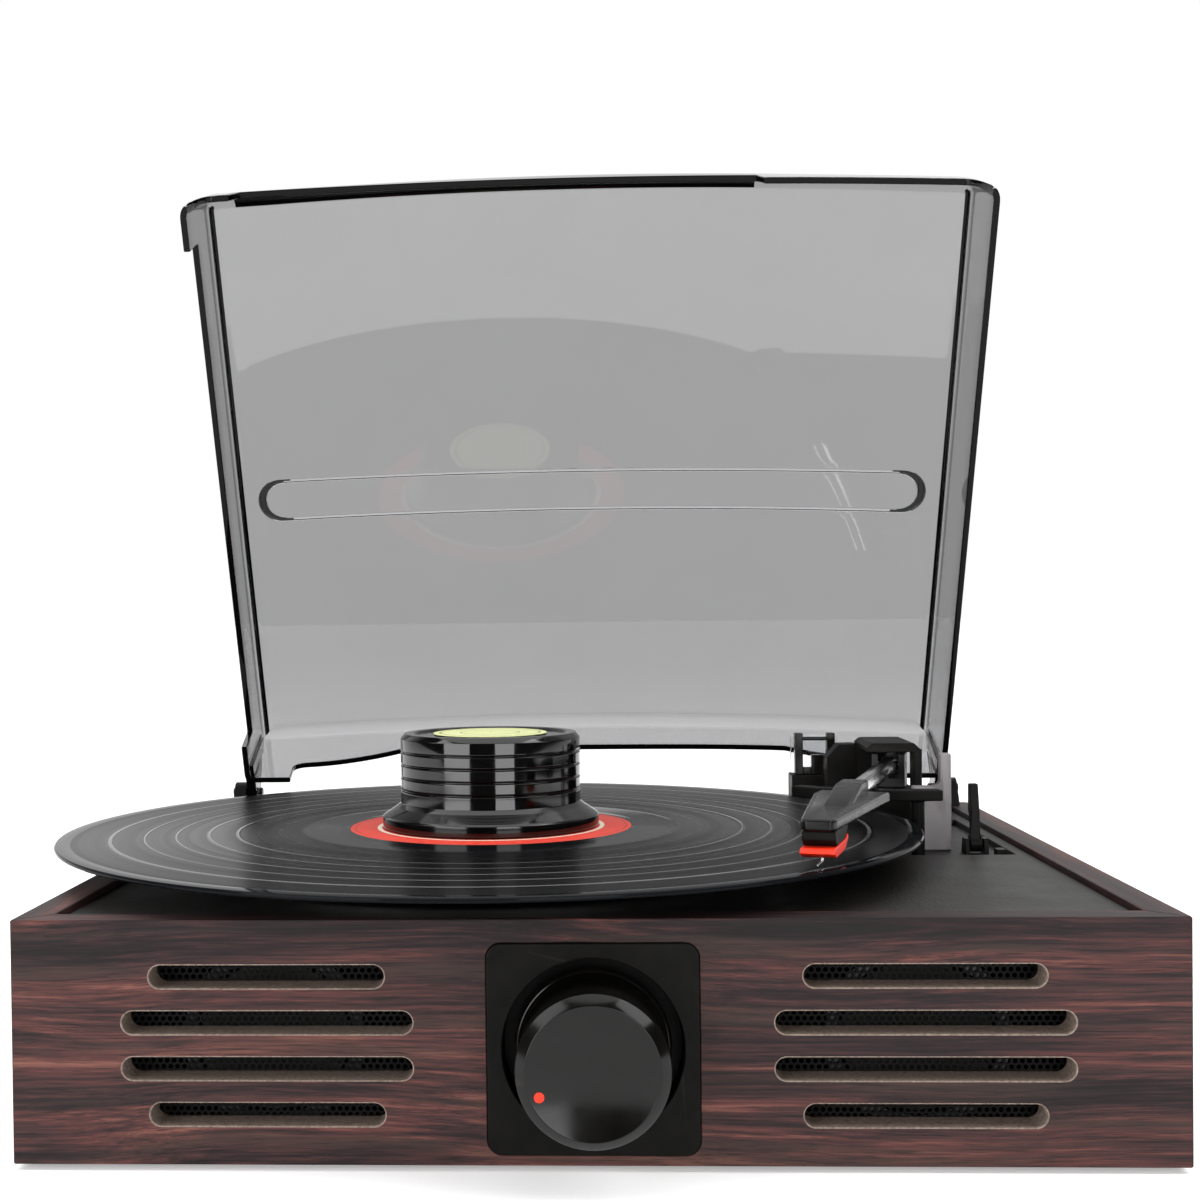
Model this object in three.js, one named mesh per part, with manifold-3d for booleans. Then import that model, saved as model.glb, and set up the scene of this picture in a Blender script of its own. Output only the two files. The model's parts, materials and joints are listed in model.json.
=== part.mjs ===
// A turntable record player: wooden plinth with two speakers, belt-driven platter carrying a
// twelve-inch record and a record weight, pivoted tonearm, and a smoked lid that stands open.
// Millimetres, +Z up. The plinth is laid out from the middle of its width (x = 0), its front
// face (y = 0) and the floor (z = 0); at the end the whole object is moved to its footprint's middle.
import * as THREE from 'three';
import { mergeVertices } from 'three/addons/utils/BufferGeometryUtils.js';
import Module from 'manifold-3d';

const wasm = await Module();
wasm.setup();

// ---- driving dimensions ----------------------------------------------------------------------
const FOOTPRINT_MIDDLE = new THREE.Vector3(-10.75, 140.4, 0); // of the whole object, lid standing open
const GAP = 0.1; // between pieces that touch

const PLINTH = { width: 330, depth: 275, bottom: 1.5, top: 71, wall: 10 };
const BASE = { bottom: 2.5, top: 7.5 };
const FOOT = { radius: 9, insetX: 35, insetY: 35, round: 0.6, dimple: 3, dimpleDepth: 1.2 };
const DECK = { top: 69, thickness: 3, clearance: 0.4, bearingHole: 7.4, motorHole: 7, armHole: 4.4 };
const WELL = { x0: 96, x1: 150, y0: 131, y1: 230, depth: 2.5, skin: 2 };

const SLOT = { height: 6.4, long: 82.6, short: 66.8, pitch: 13, middleX: 92, middleZ: 35.3, count: 4 };
const GRILLE = { width: 92, height: 54, thickness: 0.8 };
const CONTROL = {
  side: 59.6, corner: 4.3, thickness: 2, proud: 0.4, middleZ: 34.3, well: 25.5, wellDepth: 9, skin: 1.2,
};
const KNOB = {
  radius: 21, baseRadius: 22.2, front: 25.5, back: 6.8, chamfer: 2.6, boss: 3.4, skirt: 3, bore: 3.06,
};
const POT = { shaft: 2.9, shaftFront: 13.6, shaftBack: 17, neck: 3.7, half: 8.5, drop: 10, back: 22 };

const SPINDLE = { x: -36, y: 128, radius: 3.55, bottom: 45, top: 92 };
const RECORD = {
  radius: 150.5, bottom: 79, top: 80.8, edge: 0.6, labelRadius: 50, labelSeat: 0.3, bore: 3.7,
};
const PLATTER = {
  radius: 98, top: 77.4, plate: 2.8, rim: 3, rimBottom: 71.2, ring: 65, ringWall: 3, hub: 10, hubBottom: 70.5,
  edge: 0.8,
};
const MAT = { radius: 97, bottom: 77.5, top: 78.9 };
const WEIGHT = {
  base: 38.5, baseHeight: 4.6, body: 32, bodyStart: 8.4, height: 33.2, edge: 1.4, recess: 0.6,
  recessRadius: 26.8,
};
const DISC = { radius: 20.2, thickness: 0.5 };

const PULLEY = { distance: 84, radius: 4.8, flange: 1, bottom: 69.8, top: 74.3 };
const MOTOR = { radius: 19, bottom: 44, top: 65.7, shaft: 1, neck: 5, neckHeight: 2.6, shaftSeat: 12 };
const BEARING = { bottom: 43, body: 7, flange: 15, flangeBottom: 64, neck: 7.2, top: 70 };
const BELT = { thickness: 0.8, slack: 0.5, bottom: 70.8, top: 73.4 };

const ARM = {
  x: 118.5, y: 203, z: 94.5, restAngle: 16.4, parkAngle: 7, length: 185.6, tubeRadius: 3.5, tubeEnd: 112,
  tubeBack: 5, stem: 4, pin: 1.22,
};
const YOKE = { half: 6.4, depth: 4.4, top: 4.6, slot: 3.9 };
const COUNTERWEIGHT = { radius: 5, length: 5.3 };
const HEADSHELL = {
  top: 0.6, bottom: -3, back: 104, nose: 185.5, collar: 4.6, collarTop: 4.4, collarEnd: 118, spineEnd: 150,
};
const CARTRIDGE = { half: 5, height: 4.6, holder: 3 };
const STYLUS = { thick: 0.35, root: 176, rise: 0.7 };
const TOWER = {
  x0: 107.5, x1: 128.5, y0: 188, y1: 222, baseTop: 85.5, capBottom: 100.6, top: 104.2, wall: 3, bevel: 3,
};
const ANNEX = { x: 95, bottom: 69.5, top: 101.4, reach: 8 };
const ARM_REST = { distance: 43, left: 4.6, right: 9.4, prong: 4, prongTop: 102.6, cradle: 2.6, half: 2.6 };
const STAND = { x0: 84, x1: 116, y0: 238, y1: 252, top: 87, fork: [85.6, 102.4], post: 3.4, postTop: 104.5 };
const LIFT = {
  inner: 54, outer: 60, bottom: 86.6, top: 90.6, post: 2.5, postBottom: 61, from: -47, to: 8.5,
};
const LEVER = { x: 140, y: 150, z: 70.2, tip: 92, half: 1.6, pin: 1, cheekInner: 2.6, cheekOuter: 4.2 };
const SELECTOR = {
  slot: [5.4, 7.2], travel: [4, 16], button: [4.6, 8], reach: [9, 14], height: 3.4, tongue: [5.6, 7],
};

const LID = {
  width: 305, depth: 250, side: 42, crown: 10, skin: 2.5, bow: 3, corner: 7, lean: 5, open: 65.5,
};
const LID_CUT = {
  notchLeft: -136, notchRight: 66.1, notchTop: 34, frontTop: 21, frontHalf: 145, sideTop: 14, sideFront: 28.5,
  sideRear: 243,
};
const LID_ARCH = { leg: 132.5, shoulderX: 86, archLow: 12.5, archHigh: 25, archMiddle: 27.5 };
const HINGE = {
  y: 270.5, z: 78, pin: 1.9, pinHalf: 6.5, ear: 5, rimZ: 69.6, rearY: 261, bracketTop: 4.4, bracketWidth: 5.5,
};
const RAIL = { y: 144.5, length: 284, height: 18.6, depth: 0.9 };
const JACKS = {
  x: 70, z: 36, width: 92, height: 32, corner: 3, plate: 1.6, cutWidth: 74, cutHeight: 22, hole: 5.6,
  socket: 4.2, inlet: 5.4,
};
const BOARD = {
  x0: -30, x1: 60, y0: 140, y1: 205, bottom: 12, top: 13.6, capacitors: [[-12, 160], [4, 160]],
  capacitorTop: 30, sinkTop: 28, chipTop: 20,
};

// ---- helpers ---------------------------------------------------------------------------------
const radians = THREE.MathUtils.degToRad;

// Merges the shared corners of a geometry and drops the triangles that this folds flat.
function cleaned(geometry) {
  const bare = geometry.index ? geometry.toNonIndexed() : geometry.clone();
  bare.deleteAttribute('normal');
  bare.deleteAttribute('uv');
  const merged = mergeVertices(bare, 1e-4);
  const source = merged.index.array;
  const kept = [];
  for (let i = 0; i < source.length; i += 3) {
    const [a, b, c] = source.slice(i, i + 3);
    if (a !== b && b !== c && c !== a) kept.push(a, b, c);
  }
  merged.setIndex(kept);
  return merged;
}

function solid(geometry) {
  const closed = cleaned(geometry);
  const vertProperties = new Float32Array(closed.attributes.position.array);
  const triVerts = new Uint32Array(closed.index.array);
  return new wasm.Manifold(new wasm.Mesh({ numProp: 3, vertProperties, triVerts }));
}

function geometryOf(manifold) {
  const { vertProperties, triVerts } = manifold.getMesh();
  const geometry = new THREE.BufferGeometry();
  geometry.setAttribute('position', new THREE.BufferAttribute(vertProperties, 3));
  geometry.setIndex(new THREE.BufferAttribute(triVerts, 1));
  return geometry;
}

// A box between two corners.
function block([x0, x1], [y0, y1], [z0, z1]) {
  const geometry = new THREE.BoxGeometry(x1 - x0, y1 - y0, z1 - z0);
  return geometry.translate((x0 + x1) / 2, (y0 + y1) / 2, (z0 + z1) / 2);
}

// A round bar along x, y or z from one end to the other, through the point at [x, y, z].
function bar(axis, radius, from, to, [x, y, z], sides = 24) {
  const geometry = new THREE.CylinderGeometry(radius, radius, to - from, sides);
  geometry.translate(0, (from + to) / 2, 0);
  if (axis === 'x') geometry.rotateZ(-Math.PI / 2);
  if (axis === 'z') geometry.rotateX(Math.PI / 2);
  return geometry.translate(axis === 'x' ? 0 : x, axis === 'y' ? 0 : y, axis === 'z' ? 0 : z);
}

// A profile of [radius, height] points turned about Z.
function turned(points, sides, [x, y] = [0, 0]) {
  const profile = points.map(([r, h]) => new THREE.Vector2(r, h));
  return new THREE.LatheGeometry(profile, sides).rotateX(Math.PI / 2).translate(x, y, 0);
}

// A profile of [radius, y] points turned about the Y axis, at a height z.
function turnedAboutY(points, sides, [x, z]) {
  const profile = points.map(([r, h]) => new THREE.Vector2(r, h));
  return new THREE.LatheGeometry(profile, sides).translate(x, 0, z);
}

// The profile of a plain ring between two radii and two heights.
function ringOf(inner, outer, bottom, top) {
  return [[inner, bottom], [outer, bottom], [outer, top], [inner, top], [inner, bottom]];
}

function outline(points) {
  return new THREE.Shape(points.map(([x, y]) => new THREE.Vector2(x, y)));
}

// A plan outline raised from z0 to z1.
function raised(shape, z0, z1, curveSegments = 8) {
  const options = { depth: z1 - z0, bevelEnabled: false, curveSegments };
  return new THREE.ExtrudeGeometry(shape, options).translate(0, 0, z0);
}

// An x-z outline carried along y from y0 to y1.
function carriedBack(shape, y0, y1, curveSegments = 8) {
  const options = { depth: y1 - y0, bevelEnabled: false, curveSegments };
  return new THREE.ExtrudeGeometry(shape, options).rotateX(Math.PI / 2).translate(0, y1, 0);
}

// A y-z outline carried along x from x0 to x1.
function carriedAcross(shape, x0, x1, curveSegments = 8) {
  const options = { depth: x1 - x0, bevelEnabled: false, curveSegments };
  const geometry = new THREE.ExtrudeGeometry(shape, options);
  return geometry.rotateX(Math.PI / 2).rotateZ(Math.PI / 2).translate(x0, 0, 0);
}

// A rectangle about [x, y] with rounded corners.
function roundedRectangle(x, y, width, height, radius) {
  const [left, low] = [x - width / 2, y - height / 2];
  const [right, high] = [x + width / 2, y + height / 2];
  const shape = new THREE.Shape();
  shape.moveTo(left + radius, low);
  shape.lineTo(right - radius, low);
  shape.absarc(right - radius, low + radius, radius, -Math.PI / 2, 0);
  shape.lineTo(right, high - radius);
  shape.absarc(right - radius, high - radius, radius, 0, Math.PI / 2);
  shape.lineTo(left + radius, high);
  shape.absarc(left + radius, high - radius, radius, Math.PI / 2, Math.PI);
  shape.lineTo(left, low + radius);
  shape.absarc(left + radius, low + radius, radius, Math.PI, 1.5 * Math.PI);
  return shape;
}

function cut(from, ...tools) {
  return tools.reduce((rest, tool) => rest.subtract(solid(tool)), solid(from));
}

function joined(...pieces) {
  return pieces.map(solid).reduce((all, piece) => all.add(piece));
}

// ---- materials -------------------------------------------------------------------------------
const finish = (color, roughness, metalness = 0) => ({ color, roughness, metalness });
const ROSEWOOD = finish(0x4a3535, 0.5);
const FIBREBOARD = finish(0x6b5140, 0.9);
const GRAINED_BLACK = finish(0x24221f, 0.75);
const SATIN_BLACK = finish(0x1a1918, 0.45);
const GLOSS_BLACK = finish(0x0b0b0b, 0.15);
const VINYL = finish(0x0a0a0b, 0.25);
const RUBBER = finish(0x151515, 0.9);
const STEEL = finish(0xc8c8c8, 0.25, 1);
const BRASS = finish(0xb9974c, 0.35, 1);
const GREY_PLASTIC = finish(0x5a5658, 0.5);
const CLEAR_PLASTIC = finish(0xb9bcc0, 0.1);
const SMOKED_ACRYLIC = finish(0x8b8c90, 0.08);
const RED_PLASTIC = finish(0xc22318, 0.4);
const LABEL_RED = finish(0xb63a30, 0.7);
const PALE_YELLOW = finish(0xe6ebab, 0.6);
const PAPER_GREY = finish(0x3b3936, 0.95);
const BOARD_GREEN = finish(0x1e5c36, 0.6);

const player = new THREE.Group();

function place(name, shape, look, parent = player) {
  const geometry = shape instanceof THREE.BufferGeometry ? cleaned(shape) : geometryOf(shape);
  const mesh = new THREE.Mesh(geometry, new THREE.MeshStandardMaterial(look));
  mesh.name = name;
  parent.add(mesh);
}

// ---- plinth ----------------------------------------------------------------------------------
function mitredPanel(from, to, inward) {
  const along = new THREE.Vector2().subVectors(to, from).normalize();
  const [start, end] = [from.clone().addScaledVector(along, GAP), to.clone().addScaledVector(along, -GAP)];
  const depth = inward.clone().multiplyScalar(PLINTH.wall);
  const innerStart = start.clone().add(depth).addScaledVector(along, PLINTH.wall);
  const innerEnd = end.clone().add(depth).addScaledVector(along, -PLINTH.wall);
  return raised(new THREE.Shape([start, end, innerEnd, innerStart]), PLINTH.bottom, PLINTH.top);
}

function slotRows() {
  const rows = [];
  for (const side of [-1, 1]) {
    for (let row = 0; row < SLOT.count; row += 1) {
      const outerRow = row === 0 || row === SLOT.count - 1;
      const z = SLOT.middleZ + (row - (SLOT.count - 1) / 2) * SLOT.pitch;
      const length = outerRow ? SLOT.short : SLOT.long;
      rows.push(roundedRectangle(side * SLOT.middleX, z, length, SLOT.height, SLOT.height / 2 - 0.01));
    }
  }
  return rows;
}

function buildPlinth() {
  const half = PLINTH.width / 2;
  const corner = (x, y) => new THREE.Vector2(x * half, y * PLINTH.depth);
  const front = mitredPanel(corner(-1, 0), corner(1, 0), new THREE.Vector2(0, 1));
  const slots = slotRows().map((row) => carriedBack(row, -1, PLINTH.wall + 1, 5));
  const seatSide = CONTROL.side + 2 * GAP;
  const seat = roundedRectangle(0, CONTROL.middleZ, seatSide, seatSide, CONTROL.corner);
  const seatCut = carriedBack(seat, -1, CONTROL.thickness, 5);
  const cupHole = CONTROL.well + CONTROL.skin + 0.3;
  const wellCut = bar('y', cupHole, -1, PLINTH.wall + 1, [0, 0, CONTROL.middleZ], 48);
  place('front_panel', cut(front, ...slots, seatCut, wellCut), ROSEWOOD);

  const rear = mitredPanel(corner(1, 1), corner(-1, 1), new THREE.Vector2(0, -1));
  const jackCut = block(
    [JACKS.x - JACKS.cutWidth / 2, JACKS.x + JACKS.cutWidth / 2],
    [PLINTH.depth - PLINTH.wall - 1, PLINTH.depth + 1],
    [JACKS.z - JACKS.cutHeight / 2, JACKS.z + JACKS.cutHeight / 2],
  );
  place('rear_panel', cut(rear, jackCut), ROSEWOOD);
  place('left_panel', mitredPanel(corner(-1, 1), corner(-1, 0), new THREE.Vector2(1, 0)), ROSEWOOD);
  place('right_panel', mitredPanel(corner(1, 0), corner(1, 1), new THREE.Vector2(-1, 0)), ROSEWOOD);
}

function buildBase() {
  const inside = PLINTH.width / 2 - PLINTH.wall - GAP;
  const [front, back] = [PLINTH.wall + GAP, PLINTH.depth - PLINTH.wall - GAP];
  place('base_board', block([-inside, inside], [front, back], [BASE.bottom, BASE.top]), FIBREBOARD);
  const footX = PLINTH.width / 2 - FOOT.insetX;
  const corners = {
    front_left: [-footX, FOOT.insetY],
    front_right: [footX, FOOT.insetY],
    rear_left: [-footX, PLINTH.depth - FOOT.insetY],
    rear_right: [footX, PLINTH.depth - FOOT.insetY],
  };
  const { radius, round, dimple, dimpleDepth } = FOOT;
  const top = BASE.bottom - GAP;
  const profile = [
    [0, dimpleDepth], [dimple, dimpleDepth], [dimple, 0],
    [radius - round, 0], [radius, round], [radius, top], [0, top],
  ];
  for (const [name, at] of Object.entries(corners)) place(`foot_${name}`, turned(profile, 20, at), RUBBER);
}

function buildDeck() {
  const inside = PLINTH.width / 2 - PLINTH.wall - DECK.clearance;
  const [front, back] = [PLINTH.wall + DECK.clearance, PLINTH.depth - PLINTH.wall - DECK.clearance];
  const plate = block([-inside, inside], [front, back], [DECK.top - DECK.thickness, DECK.top]);
  const { x0, x1, y0, y1, depth, skin } = WELL;
  const under = DECK.top - DECK.thickness - depth;
  const tub = block([x0 - skin, x1 + skin], [y0 - skin, y1 + skin], [under, DECK.top - 1]);
  const well = block([x0, x1], [y0, y1], [DECK.top - depth, DECK.top + 1]);
  const hole = (radius, [x, y], sides) => bar('z', radius, under - 1, DECK.top + 1, [x, y, 0], sides);
  const holes = [
    hole(DECK.bearingHole, [SPINDLE.x, SPINDLE.y], 32),
    hole(DECK.motorHole, motorPlace(), 32),
    hole(DECK.armHole, [ARM.x, ARM.y]),
    hole(LIFT.post + GAP, liftPostPlace()),
    block(
      [LEVER.x + SELECTOR.slot[0], LEVER.x + SELECTOR.slot[1]],
      [LEVER.y - SELECTOR.travel[1], LEVER.y - SELECTOR.travel[0]],
      [under - 1, DECK.top + 1],
    ),
  ];
  place('deck_plate', cut(geometryOf(joined(plate, tub)), well, ...holes), GRAINED_BLACK);
}

// ---- front controls and speakers -------------------------------------------------------------
function buildControls() {
  const z = CONTROL.middleZ;
  const { side, corner, thickness, well, wellDepth, skin, proud } = CONTROL;
  const square = carriedBack(roundedRectangle(0, z, side, side, corner), -proud, thickness - GAP, 5);
  const cup = bar('y', well + skin, 0, wellDepth + skin, [0, 0, z], 48);
  const hollow = bar('y', well, -2, wellDepth, [0, 0, z], 48);
  const shaftHole = bar('y', POT.neck + GAP, 0, wellDepth + skin + 1, [0, 0, z]);
  place('control_plate', cut(geometryOf(joined(square, cup)), hollow, shaftHole), SATIN_BLACK);

  const { radius, baseRadius, front, back, chamfer, boss, skirt, bore } = KNOB;
  const rim = back - 1;
  const knob = [
    [0, -front], [radius - chamfer, -front], [radius, chamfer - front], [radius, rim - skirt - 1],
    [baseRadius - 0.9, rim - skirt - 1], [baseRadius, rim - skirt], [baseRadius, rim],
    [boss, rim], [boss, back], [0, back],
  ];
  const shaftBore = bar('y', bore, -POT.shaftFront - 0.4, back + 1, [0, 0, z]);
  place('volume_knob', cut(turnedAboutY(knob, 48, [0, z]), shaftBore), GLOSS_BLACK);
  place('volume_shaft', bar('y', POT.shaft, -POT.shaftFront, POT.shaftBack, [0, 0, z]), STEEL);

  const bodyFront = wellDepth + skin + GAP;
  const body = block([-POT.half, POT.half], [bodyFront, POT.back], [z - POT.drop, z + POT.half]);
  const neck = bar('y', POT.neck, back + 0.4, bodyFront + 1, [0, 0, z]);
  const bearing = bar('y', POT.shaft + 0.12, 0, POT.shaftBack + 0.4, [0, 0, z]);
  place('volume_pot', cut(geometryOf(joined(body, neck)), bearing), STEEL);
}

function buildSpeaker(side, x) {
  const z = SLOT.middleZ;
  const meshFront = PLINTH.wall + GAP;
  const meshBack = meshFront + GRILLE.thickness;
  const sheet = block(
    [x - GRILLE.width / 2, x + GRILLE.width / 2],
    [meshFront, meshBack],
    [z - GRILLE.height / 2, z + GRILLE.height / 2],
  );
  place(`grille_${side}`, sheet, SATIN_BLACK);
  const front = meshBack + GAP;
  const basket = [
    [23, front], [26.5, front], [26.5, front + 2], [23.8, front + 2.4], [14, front + 15], [14, front + 17],
    [9.4, front + 17], [9.4, front + 15], [12.2, front + 14], [22.2, front + 2.2], [23, front],
  ];
  place(`speaker_basket_${side}`, turnedAboutY(basket, 20, [x, z]), STEEL);
  const cone = [
    [0, front + 6], [4, front + 7], [7, front + 9.4], [20.6, front + 1.4], [21.6, front + 1.4],
    [8.6, front + 12], [8.6, front + 16.6], [0, front + 16.6],
  ];
  place(`speaker_cone_${side}`, turnedAboutY(cone, 20, [x, z]), PAPER_GREY);
  place(`speaker_magnet_${side}`, bar('y', 16, front + 17.1, front + 28, [x, 0, z], 32), STEEL);
}

// ---- drive and record ------------------------------------------------------------------------
function motorPlace() {
  const reach = PULLEY.distance * Math.SQRT1_2;
  return [SPINDLE.x - reach, SPINDLE.y - reach];
}

function buildDrive() {
  const { radius, bottom, top, shaft, neck, neckHeight, shaftSeat } = MOTOR;
  const shaftHole = shaft + 0.08;
  const body = [
    [0, bottom], [radius - 1, bottom], [radius, bottom + 1], [radius, top],
    [neck, top], [neck, top + neckHeight], [shaftHole, top + neckHeight],
    [shaftHole, bottom + shaftSeat], [0, bottom + shaftSeat],
  ];
  place('motor', turned(body, 24, motorPlace()), STEEL);

  const shaftEnd = bottom + shaftSeat + 0.6;
  const flange = PULLEY.radius + PULLEY.flange;
  const pulley = [
    [0, shaftEnd], [shaft, shaftEnd], [shaft, PULLEY.bottom], [flange, PULLEY.bottom],
    [PULLEY.radius, PULLEY.bottom + 0.8], [PULLEY.radius, PULLEY.top - 0.8], [flange, PULLEY.top],
    [0, PULLEY.top],
  ];
  place('motor_pulley', turned(pulley, 24, motorPlace()), BRASS);

  const bore = SPINDLE.radius + 0.08;
  const deckUnder = DECK.top - DECK.thickness - GAP;
  const seat = SPINDLE.bottom - 0.2;
  const { body: housing, flange: plate, flangeBottom, neck: collar, bottom: floor } = BEARING;
  const bearing = [
    [0, floor], [housing, floor], [housing, flangeBottom], [plate, flangeBottom], [plate, deckUnder],
    [collar, deckUnder], [collar, BEARING.top], [bore, BEARING.top], [bore, seat], [0, seat],
  ];
  place('platter_bearing', turned(bearing, 32, [SPINDLE.x, SPINDLE.y]), BRASS);
}

function beltLoop(offset) {
  const [big, small] = [PLATTER.ring + BELT.slack + offset, PULLEY.radius + BELT.slack + offset];
  const lean = Math.acos((big - small) / PULLEY.distance);
  const loop = new THREE.Path();
  loop.absarc(0, 0, big, lean, 2 * Math.PI - lean);
  loop.absarc(PULLEY.distance, 0, small, -lean, lean);
  loop.closePath();
  return loop;
}

function buildBelt() {
  const shape = new THREE.Shape(beltLoop(BELT.thickness).getPoints(32));
  shape.holes.push(new THREE.Path(beltLoop(0).getPoints(32)));
  const belt = raised(shape, BELT.bottom, BELT.top);
  belt.rotateZ(-0.75 * Math.PI).translate(SPINDLE.x, SPINDLE.y, 0);
  place('drive_belt', belt, RUBBER);
}

function buildPlatter() {
  const at = [SPINDLE.x, SPINDLE.y];
  const { radius, top, plate, rim, rimBottom, ring, ringWall, hub, hubBottom, edge } = PLATTER;
  const under = top - plate;
  const bore = SPINDLE.radius + 0.1;
  const platter = [
    [bore, hubBottom], [hub, hubBottom], [hub, under],
    [ring - ringWall, under], [ring - ringWall, BELT.bottom], [ring, BELT.bottom], [ring, under],
    [radius - rim, under], [radius - rim, rimBottom], [radius, rimBottom],
    [radius, top - edge], [radius - edge, top], [bore, top], [bore, hubBottom],
  ];
  place('platter', turned(platter, 56, at), STEEL);
  const spindle = [
    [0, SPINDLE.bottom], [SPINDLE.radius, SPINDLE.bottom], [SPINDLE.radius, SPINDLE.top - 2],
    [SPINDLE.radius - 1.2, SPINDLE.top - 0.5], [0, SPINDLE.top],
  ];
  place('spindle', turned(spindle, 32, at), STEEL);
  place('slip_mat', turned(ringOf(RECORD.bore, MAT.radius, MAT.bottom, MAT.top), 56, at), PAPER_GREY);
}

function buildRecord() {
  const at = [SPINDLE.x, SPINDLE.y];
  const { radius, bottom, top, bore, labelRadius, labelSeat, edge } = RECORD;
  const seat = top - labelSeat;
  const record = [
    [bore, bottom], [radius - edge, bottom], [radius, (bottom + top) / 2], [radius - edge, top],
    [labelRadius + GAP, top], [labelRadius + GAP, seat], [bore, seat], [bore, bottom],
  ];
  place('record', turned(record, 96, at), VINYL);
  place('record_label', turned(ringOf(bore, labelRadius, seat + GAP, top + 0.02), 48, at), LABEL_RED);
}

function buildWeight() {
  const at = [SPINDLE.x, SPINDLE.y];
  const { base, baseHeight, body, bodyStart, height, recess, recessRadius, edge } = WEIGHT;
  const floor = RECORD.top + 2 * GAP;
  const top = floor + height;
  const bore = SPINDLE.radius + 0.15;
  const boreTop = SPINDLE.top + 1;
  const profile = [
    [bore, floor], [base - 0.5, floor], [base, floor + 0.5],
    [base, floor + baseHeight - 0.6], [base - 0.6, floor + baseHeight],
    [body + 1.2, floor + bodyStart - 1], [body, floor + bodyStart + 0.4],
    [body, top - edge - 0.2], [body - edge, top], [recessRadius + 0.6, top],
    [recessRadius, top - recess], [0, top - recess], [0, boreTop], [bore, boreTop], [bore, floor],
  ];
  place('record_weight', turned(profile, 48, at), GLOSS_BLACK);
  const card = top - recess + GAP;
  const cardTop = card + DISC.thickness;
  const disc = [[0, card], [DISC.radius, card], [DISC.radius, cardTop], [0, cardTop]];
  place('weight_disc', turned(disc, 48, at), PALE_YELLOW);
}

// ---- tonearm ---------------------------------------------------------------------------------
function liftPostPlace() {
  return [ARM.x, ARM.y - (LIFT.inner + LIFT.outer) / 2];
}

function buildTower() {
  const { x0, x1, y0, y1, baseTop, capBottom, top, wall, bevel } = TOWER;
  const floor = DECK.top - WELL.depth + GAP;
  const base = block([x0 + 1.2, x1 - 0.5], [y0 + 1, y1 - 0.6], [floor, baseTop]);
  const stemHole = bar('z', ARM.stem + GAP, floor - 1, baseTop + 1, [ARM.x, ARM.y, 0]);
  place('arm_base', cut(base, stemHole), SATIN_BLACK);

  const capOutline = outline([
    [x0, capBottom], [x1, capBottom], [x1, top - bevel], [x1 - bevel, top], [x0 + 2, top], [x0, top - 1.6],
  ]);
  const walls = [baseTop + GAP, capBottom + 1];
  const annexOutline = outline([
    [ANNEX.x, ANNEX.bottom], [x0 + 1, ANNEX.bottom], [x0 + 1, ANNEX.top],
    [ANNEX.x + 6, ANNEX.top], [ANNEX.x + 1, ANNEX.top - 5.4],
  ]);
  const tower = joined(
    carriedBack(capOutline, y0, y1),
    block([x0, x1], [y1 - wall, y1], walls),
    block([x1 - wall, x1], [y0, y0 + 10], walls),
    carriedBack(annexOutline, y1 - wall, y1 + ANNEX.reach),
  );
  place('arm_tower', tower, SATIN_BLACK);
}

function buildArm() {
  const swing = new THREE.Group();
  swing.position.set(ARM.x, ARM.y, ARM.z);
  swing.rotation.z = -radians(ARM.restAngle);
  player.add(swing);

  const stemBottom = DECK.top - WELL.depth - 1.5 - ARM.z;
  const baseTop = TOWER.baseTop - ARM.z;
  const pinHole = () => bar('x', ARM.pin + 0.08, -8, 8, [0, 0, 0], 16);
  const { half, depth, top, slot } = YOKE;
  const body = block([-half, half], [-depth, depth], [baseTop + 0.4, top]);
  const stem = bar('z', ARM.stem, stemBottom, baseTop + 1, [0, 0, 0]);
  const opening = block([-slot, slot], [-depth - 1, depth + 1], [-5, top + 1]);
  place('arm_yoke', cut(geometryOf(joined(body, stem)), opening, pinHole()), STEEL, swing);
  place('arm_pin', bar('x', ARM.pin, 0.2 - half, half - 0.2, [0, 0, 0], 16), STEEL, swing);

  const { tubeRadius, tubeBack, tubeEnd } = ARM;
  const hub = block([-3.4, 3.4], [-4, tubeBack], [-3.6, 3.6]);
  const tube = joined(bar('y', tubeRadius, -tubeEnd, tubeBack, [0, 0, 0]), hub);
  place('arm_tube', cut(geometryOf(tube), pinHole()), STEEL, swing);
  const { radius, length } = COUNTERWEIGHT;
  const weight = bar('y', radius, tubeBack + GAP, tubeBack + GAP + length, [0, 0, 0]);
  place('arm_counterweight', weight, SATIN_BLACK, swing);
  buildHeadshell(swing);
}

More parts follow.
